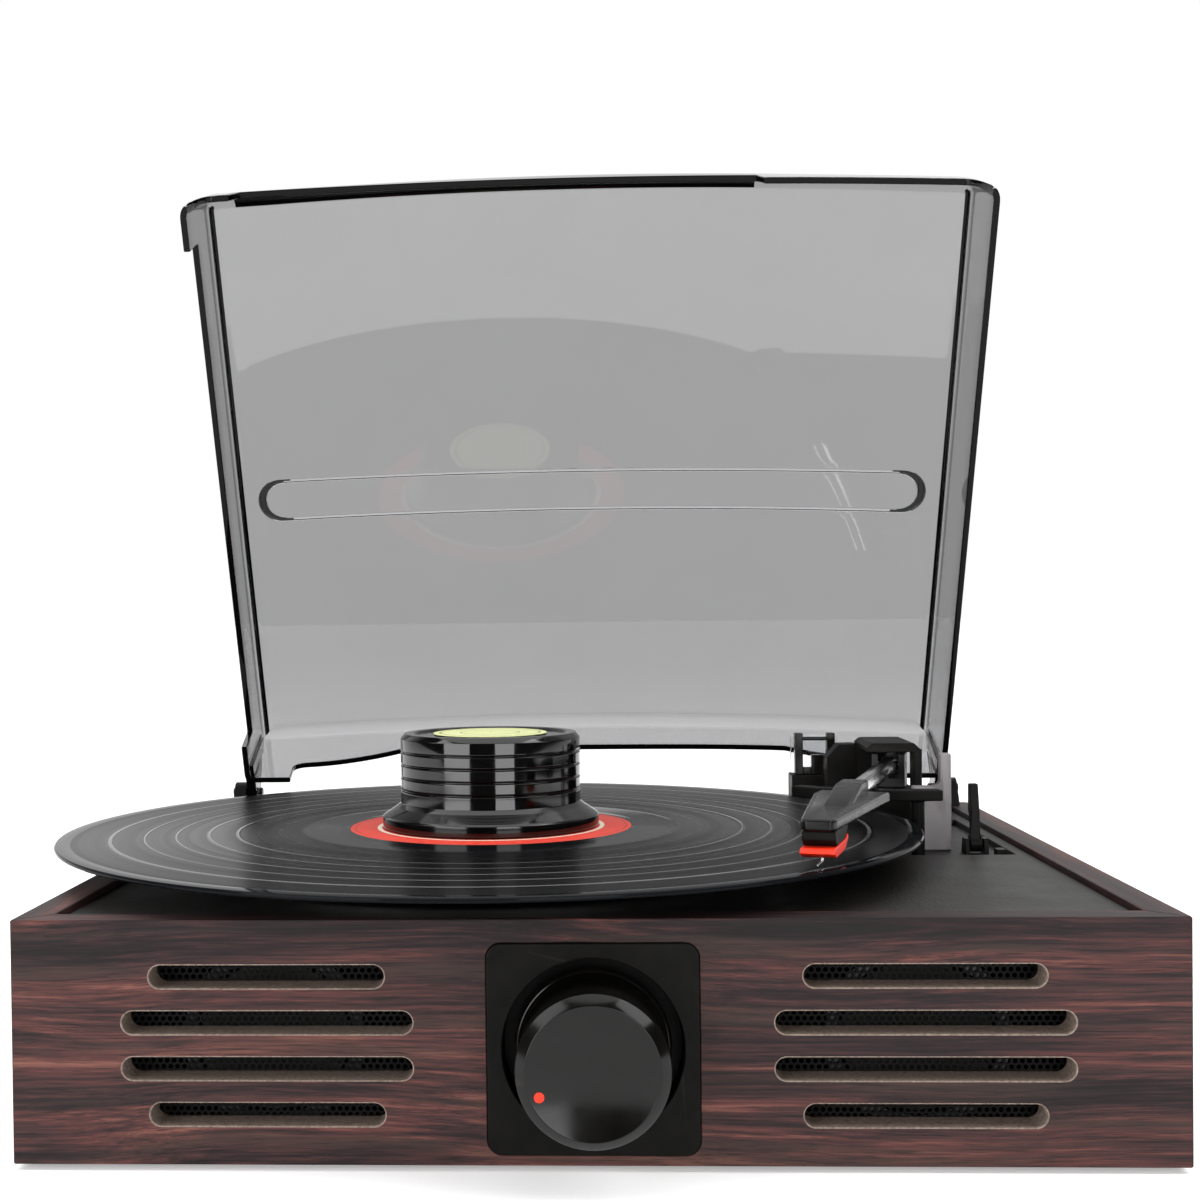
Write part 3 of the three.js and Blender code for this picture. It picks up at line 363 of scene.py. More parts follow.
class Look:
    """Builds one procedural material around a Principled shader."""

    def __init__(self, name):
        self.material = bpy.data.materials.new(name)
        self.material.use_nodes = True
        self.tree = self.material.node_tree
        self.shader = self.tree.nodes["Principled BSDF"]
        self.place = self.node("ShaderNodeTexCoord").outputs["Object"]

    def node(self, kind, inputs=None, **settings):
        return add_node(self.tree, kind, inputs, **settings)

    def math(self, operation, a, b=0.0):
        return self.node("ShaderNodeMath", {0: a, 1: b}, operation=operation).outputs[0]

    def scaled(self, x, y, z, vector=None):
        source = vector or self.place
        return self.node("ShaderNodeMapping", {"Vector": source, "Scale": (x, y, z)}).outputs[0]

    def noise(self, scale=1.0, detail=4.0, roughness=0.5, vector=None, distortion=0.0):
        inputs = {
            "Vector": vector or self.place,
            "Scale": scale,
            "Detail": detail,
            "Roughness": roughness,
            "Distortion": distortion,
        }
        return self.node("ShaderNodeTexNoise", inputs).outputs["Fac"]

    def ramp(self, factor, *stops, constant=False):
        """A colour ramp of (position, colour or grey) stops."""
        made = self.node("ShaderNodeValToRGB", {"Fac": factor})
        made.color_ramp.interpolation = "CONSTANT" if constant else "LINEAR"
        elements = made.color_ramp.elements
        while len(elements) < len(stops):
            elements.new(1.0)
        for element, (position, value) in zip(elements, stops):
            element.position = position
            element.color = value if hasattr(value, "__len__") else (value, value, value, 1.0)
        return made.outputs["Color"]

    def tones(self, factor, low, high):
        return self.ramp(factor, (0.3, low), (0.7, high))

    def mixed(self, factor, a, b):
        return self.node("ShaderNodeMix", {0: factor, 6: a, 7: b}, data_type="RGBA").outputs[2]

    def bump(self, height, distance, strength=1.0):
        inputs = {"Height": height, "Distance": distance * MM, "Strength": strength}
        return self.node("ShaderNodeBump", inputs).outputs["Normal"]

    def worn_and_highlit_edges(self):
        # Sharp edges get a lighter colour: partly wear, partly a painted highlight.
        point = self.node("ShaderNodeNewGeometry").outputs["Pointiness"]
        return self.ramp(point, (0.53, 0.0), (0.6, 1.0))

    def finish(self, **sockets):
        """Sets the shader's sockets by the names in SOCKETS, or by their own."""
        for key, value in sockets.items():
            socket = self.shader.inputs[SOCKETS.get(key, key)]
            if isinstance(value, bpy.types.NodeSocket):
                self.tree.links.new(value, socket)
            else:
                socket.default_value = value
        return self.material


def wood(name, along):
    """Dark red-brown laminate printed with a straight, slightly wandering grain along one axis.
    Marked faces are where the bare board shows."""
    look = Look(name)

    def grain(length, width):
        scale = {"x": (length, width, width), "y": (width, length, width)}[along]
        return look.scaled(*scale, vector=wander)

    slow = (0.5, 1, 1) if along == "x" else (1, 0.5, 1)
    drift = look.noise(9.0, 2.0, 0.5, vector=look.scaled(*slow))
    push = look.math("MULTIPLY", look.math("SUBTRACT", drift, 0.5), 0.022)
    offset = look.node("ShaderNodeCombineXYZ", {"X": push, "Y": push, "Z": push}).outputs[0]
    wander = look.node("ShaderNodeVectorMath", {0: look.place, 1: offset}, operation="ADD").outputs[0]
    bands = look.noise(1.0, 3.0, 0.55, vector=grain(4.0, 95.0))
    streaks = look.noise(1.0, 6.0, 0.72, vector=grain(22.0, 760.0))
    pores = look.noise(1.0, 2.0, 0.5, vector=grain(75.0, 2300.0))
    tone = look.mixed(0.5, bands, streaks)
    body = look.ramp(
        tone,
        (0.40, colour(16, 11, 12)),
        (0.46, colour(34, 21, 23)),
        (0.52, colour(58, 36, 35)),
        (0.57, colour(80, 46, 43)),
        (0.64, colour(112, 72, 63)),
    )
    olive = look.ramp(look.noise(1.0, 3.0, 0.5, vector=grain(7.0, 150.0)), (0.52, 0.0), (0.64, 0.55))
    body = look.mixed(olive, body, colour(52, 41, 36))
    pore = look.ramp(pores, (0.34, 1.0), (0.44, 0.0))
    body = look.mixed(look.math("MULTIPLY", pore, 0.6), body, colour(22, 15, 15))
    chips = look.noise(900.0, 4.0, 0.6)
    cut_board = look.tones(chips, colour(96, 84, 77), colour(142, 127, 116))
    edge = look.node("ShaderNodeAttribute", attribute_name="raw_edge").outputs["Fac"]
    body = look.mixed(edge, body, cut_board)
    height = look.mixed(0.35, streaks, look.ramp(pores, (0.3, 0.0), (0.45, 1.0)))
    rough = look.tones(streaks, 0.46, 0.62)
    return look.finish(Base_Color=body, Roughness=rough, Specular=0.2, Normal=look.bump(height, 0.09, 0.6))


def plastic(name, base, rough, edge=None, grain=0.0, grain_size=0.6, gloss=0.5, coat=0.0):
    """Moulded plastic: a faint mottle, handling marks in its gloss, and edges a little lighter, partly as
    wear and partly as a painted highlight.
    """
    look, base = Look(name), colour(*base)
    mottle = look.noise(140.0, 5.0, 0.6)
    body = look.tones(mottle, shade(base, 0.82), shade(base, 1.22, 0.001))
    # The lighter edge colour is partly wear and partly a painted highlight.
    if edge:
        body = look.mixed(look.math("MULTIPLY", look.worn_and_highlit_edges(), 0.5), body, colour(*edge))
    marks = look.noise(38.0, 6.0, 0.65)
    roughness = look.ramp(marks, (0.32, max(0.02, rough - 0.07)), (0.68, min(1.0, rough + 0.09)))
    sockets = {"Base_Color": body, "Roughness": roughness, "Specular": gloss, "Coat": coat}
    if grain:
        fine = look.noise(1000.0 / grain_size, 3.0, 0.5)
        sockets["Normal"] = look.bump(fine, grain, 0.7)
    return look.finish(**sockets)


def pebbled(name):
    """Black moulding with a leather-like pebble grain."""
    look = Look(name)
    cells = look.node("ShaderNodeTexVoronoi", {"Scale": 820.0, "Smoothness": 0.6}, feature="SMOOTH_F1")
    look.tree.links.new(look.place, cells.inputs["Vector"])
    pebble = cells.outputs["Distance"]
    fine = look.noise(2600.0, 3.0, 0.55)
    height = look.mixed(0.3, pebble, fine)
    broad = look.noise(22.0, 4.0, 0.6)
    tint = look.tones(broad, colour(26, 24, 22), colour(40, 37, 34))
    body = look.mixed(look.ramp(pebble, (0.15, 0.0), (0.6, 0.6)), tint, colour(12, 11, 10))
    rough = look.tones(broad, 0.46, 0.6)
    return look.finish(Base_Color=body, Roughness=rough, Specular=0.25, Normal=look.bump(height, 0.16, 0.8))


def metal(name, base, rough, turned=0.0, grain=(1, 1, 1), scratch=0.03):
    """Bare or plated metal with a fine machined grain; turned is its anisotropy."""
    look = Look(name)
    lines = look.noise(1.0, 4.0, 0.6, vector=look.scaled(*(900.0 * g for g in grain)))
    tarnish = look.noise(45.0, 5.0, 0.6)
    body = look.ramp(tarnish, (0.32, shade(base, 0.72)), (0.62, base))
    roughness = look.tones(lines, max(0.03, rough - 0.06), rough + 0.1)
    normal = look.bump(lines, scratch, 0.5)
    return look.finish(Base_Color=body, Metallic=1.0, Roughness=roughness, Anisotropic=turned, Normal=normal)


def share_of_radius(look, radius):
    """The distance from the spindle, and that distance as a share of a radius in mm."""
    centre = LAYOUT @ Vector((SPINDLE.x, SPINDLE.y, 0))
    shift = {"Vector": look.place, "Location": (-centre.x, -centre.y, 0)}
    flat = look.node("ShaderNodeMapping", shift).outputs[0]
    level = look.node("ShaderNodeVectorMath", {0: flat, 1: (1, 1, 0)}, operation="MULTIPLY").outputs[0]
    distance = look.node("ShaderNodeVectorMath", {0: level}, operation="LENGTH").outputs["Value"]
    return distance, look.math("DIVIDE", distance, radius * MM)


RECORD_RADIUS = 150.5
LEAD_IN = 145.2
RUN_OUT = 66.0
PAINTED_RIM_START = 149.95
GAP_RINGS = (89.0, 99.0, 110.0, 120.5, 132.0)


def ring_stops(first, half_width, last):
    """Ramp stops that are white in each gap of the record, and from the radius last outward."""
    stops = list(first)
    for ring in GAP_RINGS:
        stops += [((ring - half_width) / RECORD_RADIUS, 1.0), ((ring + half_width) / RECORD_RADIUS, 0.0)]
    return [*stops, (last / RECORD_RADIUS, 1.0)]


def vinyl():
    """Pressed black vinyl: fine concentric grooves, five gaps between the tracks, a smooth
    lead-in and run-out. The gaps and the rim are painted light grey as a painted highlight."""
    look = Look("grooved_vinyl")
    distance, share = share_of_radius(look, RECORD_RADIUS)
    first = [(0.0, 1.0), (RUN_OUT / RECORD_RADIUS, 0.0)]
    smooth = look.ramp(share, *ring_stops(first, 0.45, LEAD_IN), constant=True)

    def rings(scale, detail):
        inputs = {"W": distance, "Scale": scale, "Detail": detail}
        return look.node("ShaderNodeTexNoise", inputs, noise_dimensions="1D").outputs["Fac"]

    fine, tracks = rings(1300.0, 5.0), rings(170.0, 3.0)
    grooves = look.math("MULTIPLY", fine, look.math("SUBTRACT", 1.0, smooth))
    tint = look.ramp(tracks, (0.35, colour(9, 9, 10)), (0.65, colour(14, 14, 15)))
    body = look.mixed(smooth, tint, colour(16, 17, 19))
    # Painted highlight: the narrow gaps and the rim are painted light grey, as if they caught the light
    # wherever the record is seen from.
    bright = look.ramp(share, *ring_stops([(0.0, 0.0)], 0.35, PAINTED_RIM_START), constant=True)
    body = look.mixed(bright, body, colour(98, 98, 98))
    rough = look.ramp(tracks, (0.35, 0.26), (0.65, 0.32))
    look.finish(
        Base_Color=body,
        Roughness=look.mixed(smooth, rough, (0.09, 0.09, 0.09, 1.0)),
        Anisotropic=0.7,
        Tangent=look.node("ShaderNodeTangent", direction_type="RADIAL", axis="Z").outputs[0],
        IOR=1.12,
        Normal=look.bump(grooves, 0.012, 0.6),
    )
    look.shader.inputs["Anisotropic Rotation"].default_value = 0.25
    return look.material


def label_print():
    """Red printed paper with a cream ring close to the middle and plain printed bands."""
    look = Look("label_print")
    _, share = share_of_radius(look, 50.0)
    fibre = look.noise(420.0, 5.0, 0.6)
    red = look.tones(fibre, colour(206, 52, 38), colour(232, 78, 60))
    cream = colour(240, 226, 205)
    ring = look.ramp(share, (0.0, 0.0), (0.775, 1.0), (0.805, 0.0), constant=True)
    body = look.mixed(ring, red, cream)
    band = look.ramp(share, (0.0, 0.0), (0.955, 0.5), (0.972, 0.0), constant=True)
    body = look.mixed(band, body, colour(150, 30, 24))
    rough = look.tones(fibre, 0.42, 0.6)
    return look.finish(Base_Color=body, Roughness=rough, Specular=0.4, Normal=look.bump(fibre, 0.02, 0.5))


def disc_print():
    """Pale yellow-green card with plain rings and a turned sheen."""
    look = Look("disc_print")
    _, share = share_of_radius(look, 20.2)
    fibre = look.noise(600.0, 4.0, 0.6)
    pale = look.tones(fibre, colour(222, 228, 158), colour(240, 244, 184))
    marks = look.ramp(
        share, (0.0, 1.0), (0.03, 0.0), (0.5, 0.7), (0.53, 0.0), (0.86, 0.8), (0.9, 0.0), constant=True
    )
    body = look.mixed(marks, pale, colour(110, 116, 70))
    rough = look.tones(fibre, 0.35, 0.5)
    return look.finish(Base_Color=body, Roughness=rough, Specular=0.4, Normal=look.bump(fibre, 0.02, 0.4))


def acrylic(name, tint, density, rough=0.015, marked=False):
    """Clear moulded acrylic that darkens with the length of the path through it. Marked faces are
    the sheet's edges and tight bends, which look black; they get a black shader as a painted shade."""
    look = Look(name)
    haze = look.noise(26.0, 5.0, 0.6)
    roughness = look.ramp(haze, (0.4, max(0.0, rough - 0.01)), (0.75, rough + 0.02))
    absorb = look.node("ShaderNodeVolumeAbsorption", {"Color": tint, "Density": density})
    output = look.tree.nodes["Material Output"]
    look.tree.links.new(absorb.outputs[0], output.inputs["Volume"])
    body = look.tones(haze, (0.97, 0.97, 0.975, 1.0), (1.0, 1.0, 1.0, 1.0))
    if marked:
        # Painted shade: the marked edges and bends get a black shader in place of the clear one.
        edge = look.node("ShaderNodeAttribute", attribute_name="painted_edge_shade").outputs["Fac"]
        black = {"Base Color": colour(6, 6, 7), "Roughness": roughness, "Specular IOR Level": 0.12}
        dark = look.node("ShaderNodeBsdfPrincipled", black).outputs[0]
        both = look.node("ShaderNodeMixShader", {0: edge, 1: look.shader.outputs[0], 2: dark})
        look.tree.links.new(both.outputs[0], output.inputs["Surface"])
    return look.finish(Base_Color=body, Roughness=roughness, Transmission=1.0, IOR=1.49)


def cloth(name, base, thread=0.35):
    """Felt or pressed paper: short fibres with a dusty sheen."""
    look = Look(name)
    fibres = look.noise(1000.0 / thread, 6.0, 0.75, distortion=0.6)
    broad = look.noise(60.0, 3.0, 0.5)
    tones = shade(base, 0.6), shade(base, 1.6)
    body = look.mixed(0.3, look.tones(fibres, *tones), look.tones(broad, *tones))
    return look.finish(Base_Color=body, Roughness=0.95, Sheen=0.35, Normal=look.bump(fibres, 0.12, 0.8))


def chipboard():
    """Raw fibreboard: pressed chips of two browns."""
    look = Look("raw_fibreboard")
    chips = look.node("ShaderNodeTexVoronoi", {"Scale": 420.0, "Randomness": 1.0}, feature="F1")
    look.tree.links.new(look.scaled(0.5, 1.0, 1.0), chips.inputs["Vector"])
    fibres = look.noise(700.0, 5.0, 0.7)
    tone = look.mixed(0.5, chips.outputs["Color"], fibres)
    browns = (0.25, colour(92, 70, 54)), (0.5, colour(124, 97, 74)), (0.75, colour(150, 122, 94))
    body = look.ramp(tone, *browns)
    return look.finish(Base_Color=body, Roughness=0.9, Specular=0.2, Normal=look.bump(fibres, 0.1, 0.7))


def board_print():
    """Circuit board: green lacquer over a faint net of tracks."""
    look = Look("board_print")
    tracks = look.node("ShaderNodeTexBrick", {"Scale": 90.0, "Mortar Size": 0.03}, offset=0.35)
    look.tree.links.new(look.place, tracks.inputs["Vector"])
    fine = look.noise(240.0, 4.0, 0.6)
    green = look.tones(fine, colour(20, 74, 40), colour(34, 102, 58))
    body = look.mixed(look.math("MULTIPLY", tracks.outputs["Fac"], 0.6), green, colour(86, 138, 78))
    return look.finish(Base_Color=body, Roughness=0.35, Coat=0.3, Normal=look.bump(fine, 0.02, 0.5))


LOOKS = {
    "wood_across": wood("rosewood_across", "x"),
    "wood_back": wood("rosewood_back", "y"),
    "fibreboard": chipboard(),
    "rubber": plastic("black_rubber", (24, 24, 24), 0.85, grain=0.05, grain_size=0.8, gloss=0.3),
    "deck": pebbled("pebbled_black"),
    "satin": plastic("satin_black", (13, 12, 11), 0.42, edge=(34, 32, 31), grain=0.012, gloss=0.07),
    "gloss": plastic("gloss_black", (7, 6, 5), 0.14, edge=(34, 32, 30), gloss=0.25),
    "steel": metal("drawn_steel", (0.72, 0.72, 0.71, 1.0), 0.25, grain=(1, 1, 0.1)),
    "pressed": metal("pressed_aluminium", (0.62, 0.62, 0.61, 1.0), 0.38, turned=0.4),
    "brass": metal("turned_brass", (0.72, 0.52, 0.24, 1.0), 0.28, turned=0.3),
    "paper": cloth("dark_paper", colour(46, 44, 41), 0.5),
    "felt": cloth("black_felt", colour(40, 40, 41), 0.3),
    "vinyl": vinyl(),
    "label": label_print(),
    "weight": plastic("polished_black", (2, 2, 2), 0.07, edge=(16, 16, 16), gloss=0.5),
    "disc": disc_print(),
    "tube": metal("bright_tube", (0.9, 0.9, 0.89, 1.0), 0.1, grain=(1, 1, 1), scratch=0.008),
    "dark_metal": plastic("counterweight_black", (15, 15, 15), 0.35, edge=(70, 70, 70), gloss=0.4),
    "red": plastic("red_plastic", (255, 46, 20), 0.4, grain=0.01, gloss=0.3),
    "grey": plastic("grey_plastic", (98, 93, 95), 0.42, edge=(150, 146, 147), grain=0.012),
    "clear": acrylic("clear_plastic", (0.80, 0.86, 0.92, 1.0), 160.0, 0.05),
    "acrylic": acrylic("smoked_acrylic", (0.02, 0.02, 0.03, 1.0), 375.0, marked=True),
    "board": board_print(),
    "mesh": plastic("mesh_paint", (5, 4, 4), 0.6, edge=(22, 21, 20), gloss=0.15),
    "headshell": plastic("headshell_black", (8, 8, 9), 0.24, edge=(22, 22, 24), gloss=0.2),
}


def refine_all(*rows):
    """Finer copies of CAD nodes from rows of (node, edge width, segments, angle, look, slot); the slot is not
    used.
    """
    for node, width, segments, angle, look, slot in rows:
        stands_for(refined(node, width, segments, angle), look, node)


# ---- plinth -------------------------------------------------------------------------------------
PANEL = {"half": 165.0, "depth": 275.0, "low": 1.5, "high": 71.0, "wall": 10.0, "joint": 0.1}
SLOTS = {"height": 6.4, "long": 82.6, "short": 66.8, "pitch": 13.0, "x": 92.0, "z": 35.3}
SEAT = {"side": 59.8, "corner": 4.3, "depth": 2.0, "well": 27.0}
JACK_WINDOW = (74, 22)
MESH = {"pitch": 2.0, "hole": 0.76, "margin": 2.0, "thickness": 0.5, "border": 2.2}
BASE_SCREWS = ((-146, 24), (146, 24), (-146, 251), (146, 251), (0, 20), (0, 255))


def mark_slots(piece):
    """Marks the walls of the slots, where the bare board shows."""
    back = LAYOUT.inverted()
    marks = piece.data.attributes.new("raw_edge", "FLOAT", "FACE")
    for face in piece.data.polygons:
        centre = back @ face.center
        along = abs(abs(centre.x) - SLOTS["x"]) < SLOTS["long"] / 2 + 1
        wall = abs((back.to_3x3() @ face.normal).normalized().y) < 0.97
        within = abs(centre.z - SLOTS["z"]) < 2 * SLOTS["pitch"]
        marks.data[face.index].value = 1.0 if along and wall and within else 0.0


def make_plinth():
    half, depth, low, high = PANEL["half"], PANEL["depth"], PANEL["low"], PANEL["high"]
    wall, joint = PANEL["wall"], PANEL["joint"]

    def board(name, a, b, inward):
        """A board from a to b on the plinth's outside, mitred at both ends."""
        along = (Vector(b) - Vector(a)).normalized()
        start, end = Vector(a) + along * joint, Vector(b) - along * joint
        deep = Vector(inward) * wall
        points = [start, end, end + deep - along * wall, start + deep + along * wall]
        return prism(name, [tuple(p) for p in points], low, high)

    front = board("front_board", (-half, 0), (half, 0), (0, 1))
    tools, height = [], SLOTS["height"]
    for side in (-1, 1):
        for row in range(4):
            z = SLOTS["z"] + (row - 1.5) * SLOTS["pitch"]
            length = SLOTS["short"] if row in (0, 3) else SLOTS["long"]
            outline = round_rectangle(side * SLOTS["x"], z, length, height, height / 2 - 0.01)
            tools.append(prism("slot", outline, -2, wall + 2, "y"))
    seat = round_rectangle(0, PLATE.z, SEAT["side"], SEAT["side"], SEAT["corner"])
    tools.append(prism("seat", seat, -2, SEAT["depth"], "y"))
    tools.append(prism("well", circle(0, PLATE.z, SEAT["well"], 96), -2, wall + 2, "y"))
    bevelled(cut(front, *tools), 0.4, 3, 40)
    mark_slots(front)
    stands_for(front, "wood_across", "front_panel")

    rear = board("rear_board", (half, depth), (-half, depth), (0, -1))
    jacks = measured(middle("jack_plate"))
    opening = round_rectangle(jacks.x, jacks.z, *JACK_WINDOW, 1.0)
    bevelled(cut(rear, prism("window", opening, depth - wall - 2, depth + 2, "y")), 0.4, 3, 40)
    stands_for(rear, "wood_across", "rear_panel")
    for name, a, b, inward in (
        ("left", (-half, depth), (-half, 0), (1, 0)),
        ("right", (half, 0), (half, depth), (-1, 0)),
    ):
        side_board = bevelled(board(f"{name}_board", a, b, inward), 0.4, 3, 40)
        stands_for(side_board, "wood_back", f"{name}_panel")


def make_mesh(side):
    """A punched sheet: hexagonal holes in a close pattern, with a plain margin."""
    low, high = box_mm(f"grille_{side}")
    pitch, hole, margin = MESH["pitch"], MESH["hole"], MESH["margin"]
    row_step = pitch * math.sqrt(3) / 2
    columns = int((high.x - low.x - 2 * margin) / pitch)
    rows = int((high.z - low.z - 2 * margin) / row_step)
    points, faces, index = [], [], {}

    def vertex(x, z):
        key = (round(x, 3), round(z, 3))
        if key not in index:
            index[key] = len(points)
            points.append((x, low.y + 0.1, z))
        return index[key]

    outer = pitch / math.sqrt(3)
    for row in range(rows):
        z = low.z + margin + row_step * (row + 0.5)
        for column in range(columns):
            x = low.x + margin + pitch * (column + 0.5 + 0.5 * (row % 2))
            if x > high.x - margin:
                continue
            ring, rim = ([vertex(*p) for p in arc(x, z, r, 30, 300, 5)] for r in (outer, hole))
            faces += [(ring[k], ring[(k + 1) % 6], rim[(k + 1) % 6], rim[k]) for k in range(6)]
    piece = built(f"punched_mesh_{side}", points, faces)
    thick = piece.modifiers.new("thick", "SOLIDIFY")
    thick.thickness = MESH["thickness"] * MM
    thick.offset = 0
    settled(piece)
    smoothed(outward(piece), 30)
    stands_for(piece, "mesh", f"grille_{side}")
    x, z, width, height = (low.x + high.x) / 2, (low.z + high.z) / 2, high.x - low.x, high.z - low.z
    sheet, frame_width = round_rectangle(x, z, width, height, 2.0), 2 * MESH["border"]
    opening = round_rectangle(x, z, width - frame_width, height - frame_width, 1.0)
    border = prism(f"mesh_border_{side}", sheet, low.y + 0.02, high.y - 0.1, "y")
    cut(border, prism("hole", opening, low.y - 1, high.y + 1, "y"))
    belongs(bevelled(border, 0.1, 2), "mesh", "plinth")


def make_screw(name, place, matrix, radius):
    """A steel screw of the plinth: a domed head with a cross driven into it."""
    at = matrix @ Matrix.Translation(place)
    head = [(0, 0.55 * radius), (0.35 * radius, 0.52 * radius), (0.75 * radius, 0.36 * radius)]
    head += [(radius, 0.06 * radius), (radius, -0.1 * radius), (0, -0.1 * radius)]
    screw = lathe(name, head, at, 40)
    arm, width = 0.62 * radius, 0.13 * radius
    for turn in (0, 90):
        slot_frame = at @ Matrix.Rotation(radians(turn + 20), 4, "Z")
        cut(screw, slab("cross", (-arm, arm), (-width, width), (0.2 * radius, radius), slot_frame))
    belongs(smoothed(screw, 30), "steel", "plinth")


def make_base():
    refine_all(("base_board", 0.5, 2, 32, "fibreboard", "fibreboard"))
    low, _ = box_mm("base_board")
    for corner in ("front_left", "front_right", "rear_left", "rear_right"):
        foot_low, foot_high = box_mm(f"foot_{corner}")
        x, y = (foot_low.x + foot_high.x) / 2, (foot_low.y + foot_high.y) / 2
        radius, top = (foot_high.x - foot_low.x) / 2, foot_high.z
        profile = [(0, 1.3), (2.4, 1.3), (3.4, 0.0), (radius - 1.1, 0.0), (radius - 0.3, 0.35)]
        profile += [(radius, 1.1), (radius - 0.2, top), (0, top)]
        foot = lathe(f"rubber_{corner}", profile, LAYOUT @ Matrix.Translation((x, y, 0)), 64)
        stands_for(foot, "rubber", f"foot_{corner}")
    under = LAYOUT @ Matrix.Translation((0, 0, low.z)) @ Matrix.Rotation(radians(180), 4, "X")
    for i, (x, y) in enumerate(BASE_SCREWS):
        make_screw(f"base_screw_{i}", (x, -y, 0), under, 1.6)


# ---- front control ------------------------------------------------------------------------------
def make_control():
    low, high = box_mm("control_plate")
    z = PLATE.z
    face = round_rectangle(0, z, high.x - low.x, high.z - low.z, SEAT["corner"], 16)
    plate = prism("control_face", face, low.y, 1.9, "y")
    added(plate, prism("cup", circle(0, z, 26.7, 128), 0, 10.2, "y"))
    hollow = prism("hollow", circle(0, z, 25.5, 128), -2, 9, "y")
    cut(plate, hollow, prism("hole", circle(0, z, 3.8, 48), 0, 14, "y"))
    bevelled(plate, 0.45, 4, 40)
    stands_for(plate, "satin", "control_plate")

    # Heights run forward from the plinth's face, along the knob's axis.
    knob_low, knob_high = box_mm("volume_knob")
    front, back = -knob_low.y, -knob_high.y
    profile = [(0, front), (18.2, front), (21.0, front - 2.6), (21.0, back + 4.9), (21.6, back + 4.6)]
    profile += [(22.2, back + 4.0), (22.2, back + 1.0), (3.4, back + 1.0), (3.4, back), (3.06, back)]
    profile += [(3.06, 14), (0, 14)]
    shape = [profile[0], *rounded(profile[1:-1], 0.35, 4), profile[-1]]
    knob = lathe("knob_body", shape, KNOB_FRAME, 192)
    stands_for(knob, "gloss", "volume_knob")

    turn, reach = radians(203), 15.6
    dimple = KNOB_FRAME @ Matrix.Translation((reach * math.cos(turn), reach * math.sin(turn), front))
    dot = [(0, 0.03), (0.9, 0.05), (1.15, 0.14), (1.3, 0.15), (1.38, 0.05), (1.38, -0.3), (0, -0.3)]
    pointer = lathe("knob_pointer", dot, dimple, 48)
    belongs(pointer, "red", "knob")
    refine_all(
        ("volume_shaft", 0.2, 2, 40, "steel", "steel"),
        ("volume_pot", 0.25, 2, 40, "steel", "steel"),
    )


# ---- turning parts ------------------------------------------------------------------------------
def make_record():
    low, high = box_mm("record")
    rim, bottom, top = RECORD_RADIUS, low.z, high.z
    seat, grooved, gap, plain = top - 0.3, top - 0.14, top - 0.09, top - 0.1
    profile = [(3.7, bottom), (50, bottom), (52, bottom + 0.12), (146, bottom + 0.12), (148, bottom)]
    profile += [(rim - 0.5, bottom + 0.15), (rim - 0.1, bottom + 0.5), (rim, (bottom + top) / 2)]
    profile += [(rim - 0.1, top - 0.5), (rim - 0.5, top - 0.15), (148.4, top), (146.6, top - 0.02)]
    profile += [(LEAD_IN, grooved), (LEAD_IN - 0.3, grooved)]
    # The second point on each side of a gap keeps the bands between the gaps flat.
    for ring in reversed(GAP_RINGS):
        profile += [(ring + 0.65, grooved), (ring + 0.5, grooved), (ring + 0.4, gap)]
        profile += [(ring - 0.4, gap), (ring - 0.5, grooved), (ring - 0.65, grooved)]
    profile += [(66.5, grooved), (66.2, grooved), (65.8, plain), (65.5, plain), (54.3, plain)]
    profile += [(54, plain), (52, top), (50.1, top), (50.1, seat), (3.7, seat)]
    disc = lathe("grooved_record", profile, SPINDLE_FRAME, 256, closed=True)
    stands_for(disc, "vinyl", "record")
    low, high = box_mm("record_label")
    shape = rounded([(3.7, low.z), (50, low.z), (50, high.z), (3.7, high.z)], 0.1, 2)
    label = lathe("printed_label", shape, SPINDLE_FRAME, 128, closed=True)
    stands_for(label, "label", "record_label")


def make_weight():
    low, high = box_mm("record_weight")
    floor, top = low.z, high.z
    base, body, groove = 38.5, 32.0, 0.6
    profile = [(3.75, floor), (base - 0.6, floor), (base, floor + 0.6), (base, floor + 4.0)]
    profile += [(base - 0.6, floor + 4.6), (body + 1.6, floor + 7.4), (body, floor + 8.8)]
    for z in (13.4, 17.9, 22.4, 26.9):
        rim = floor + z
        profile += [(body, rim - 0.9), (body, rim - 0.45), (body - groove, rim - 0.15)]
        profile += [(body - groove, rim + 0.15), (body, rim + 0.45), (body, rim + 0.9)]
    profile += [(body, top - 1.8), (body - 1.5, top), (27.4, top), (26.8, top - 0.6), (0, top - 0.6)]
    shape = rounded(profile[:-1], 0.14, 3) + [(0, top - 0.6), (0, 93), (3.75, 93)]
    weight = lathe("turned_weight", shape, SPINDLE_FRAME, 192)
    stands_for(weight, "weight", "record_weight")
    low, high = box_mm("weight_disc")
    card = rounded([(19.6, low.z), (20.2, low.z + 0.1), (20.2, high.z - 0.1), (19.6, high.z)], 0.1, 2)
    disc = lathe("printed_disc", [(0, low.z), *card, (0, high.z)], SPINDLE_FRAME, 128)
    stands_for(disc, "disc", "weight_disc")


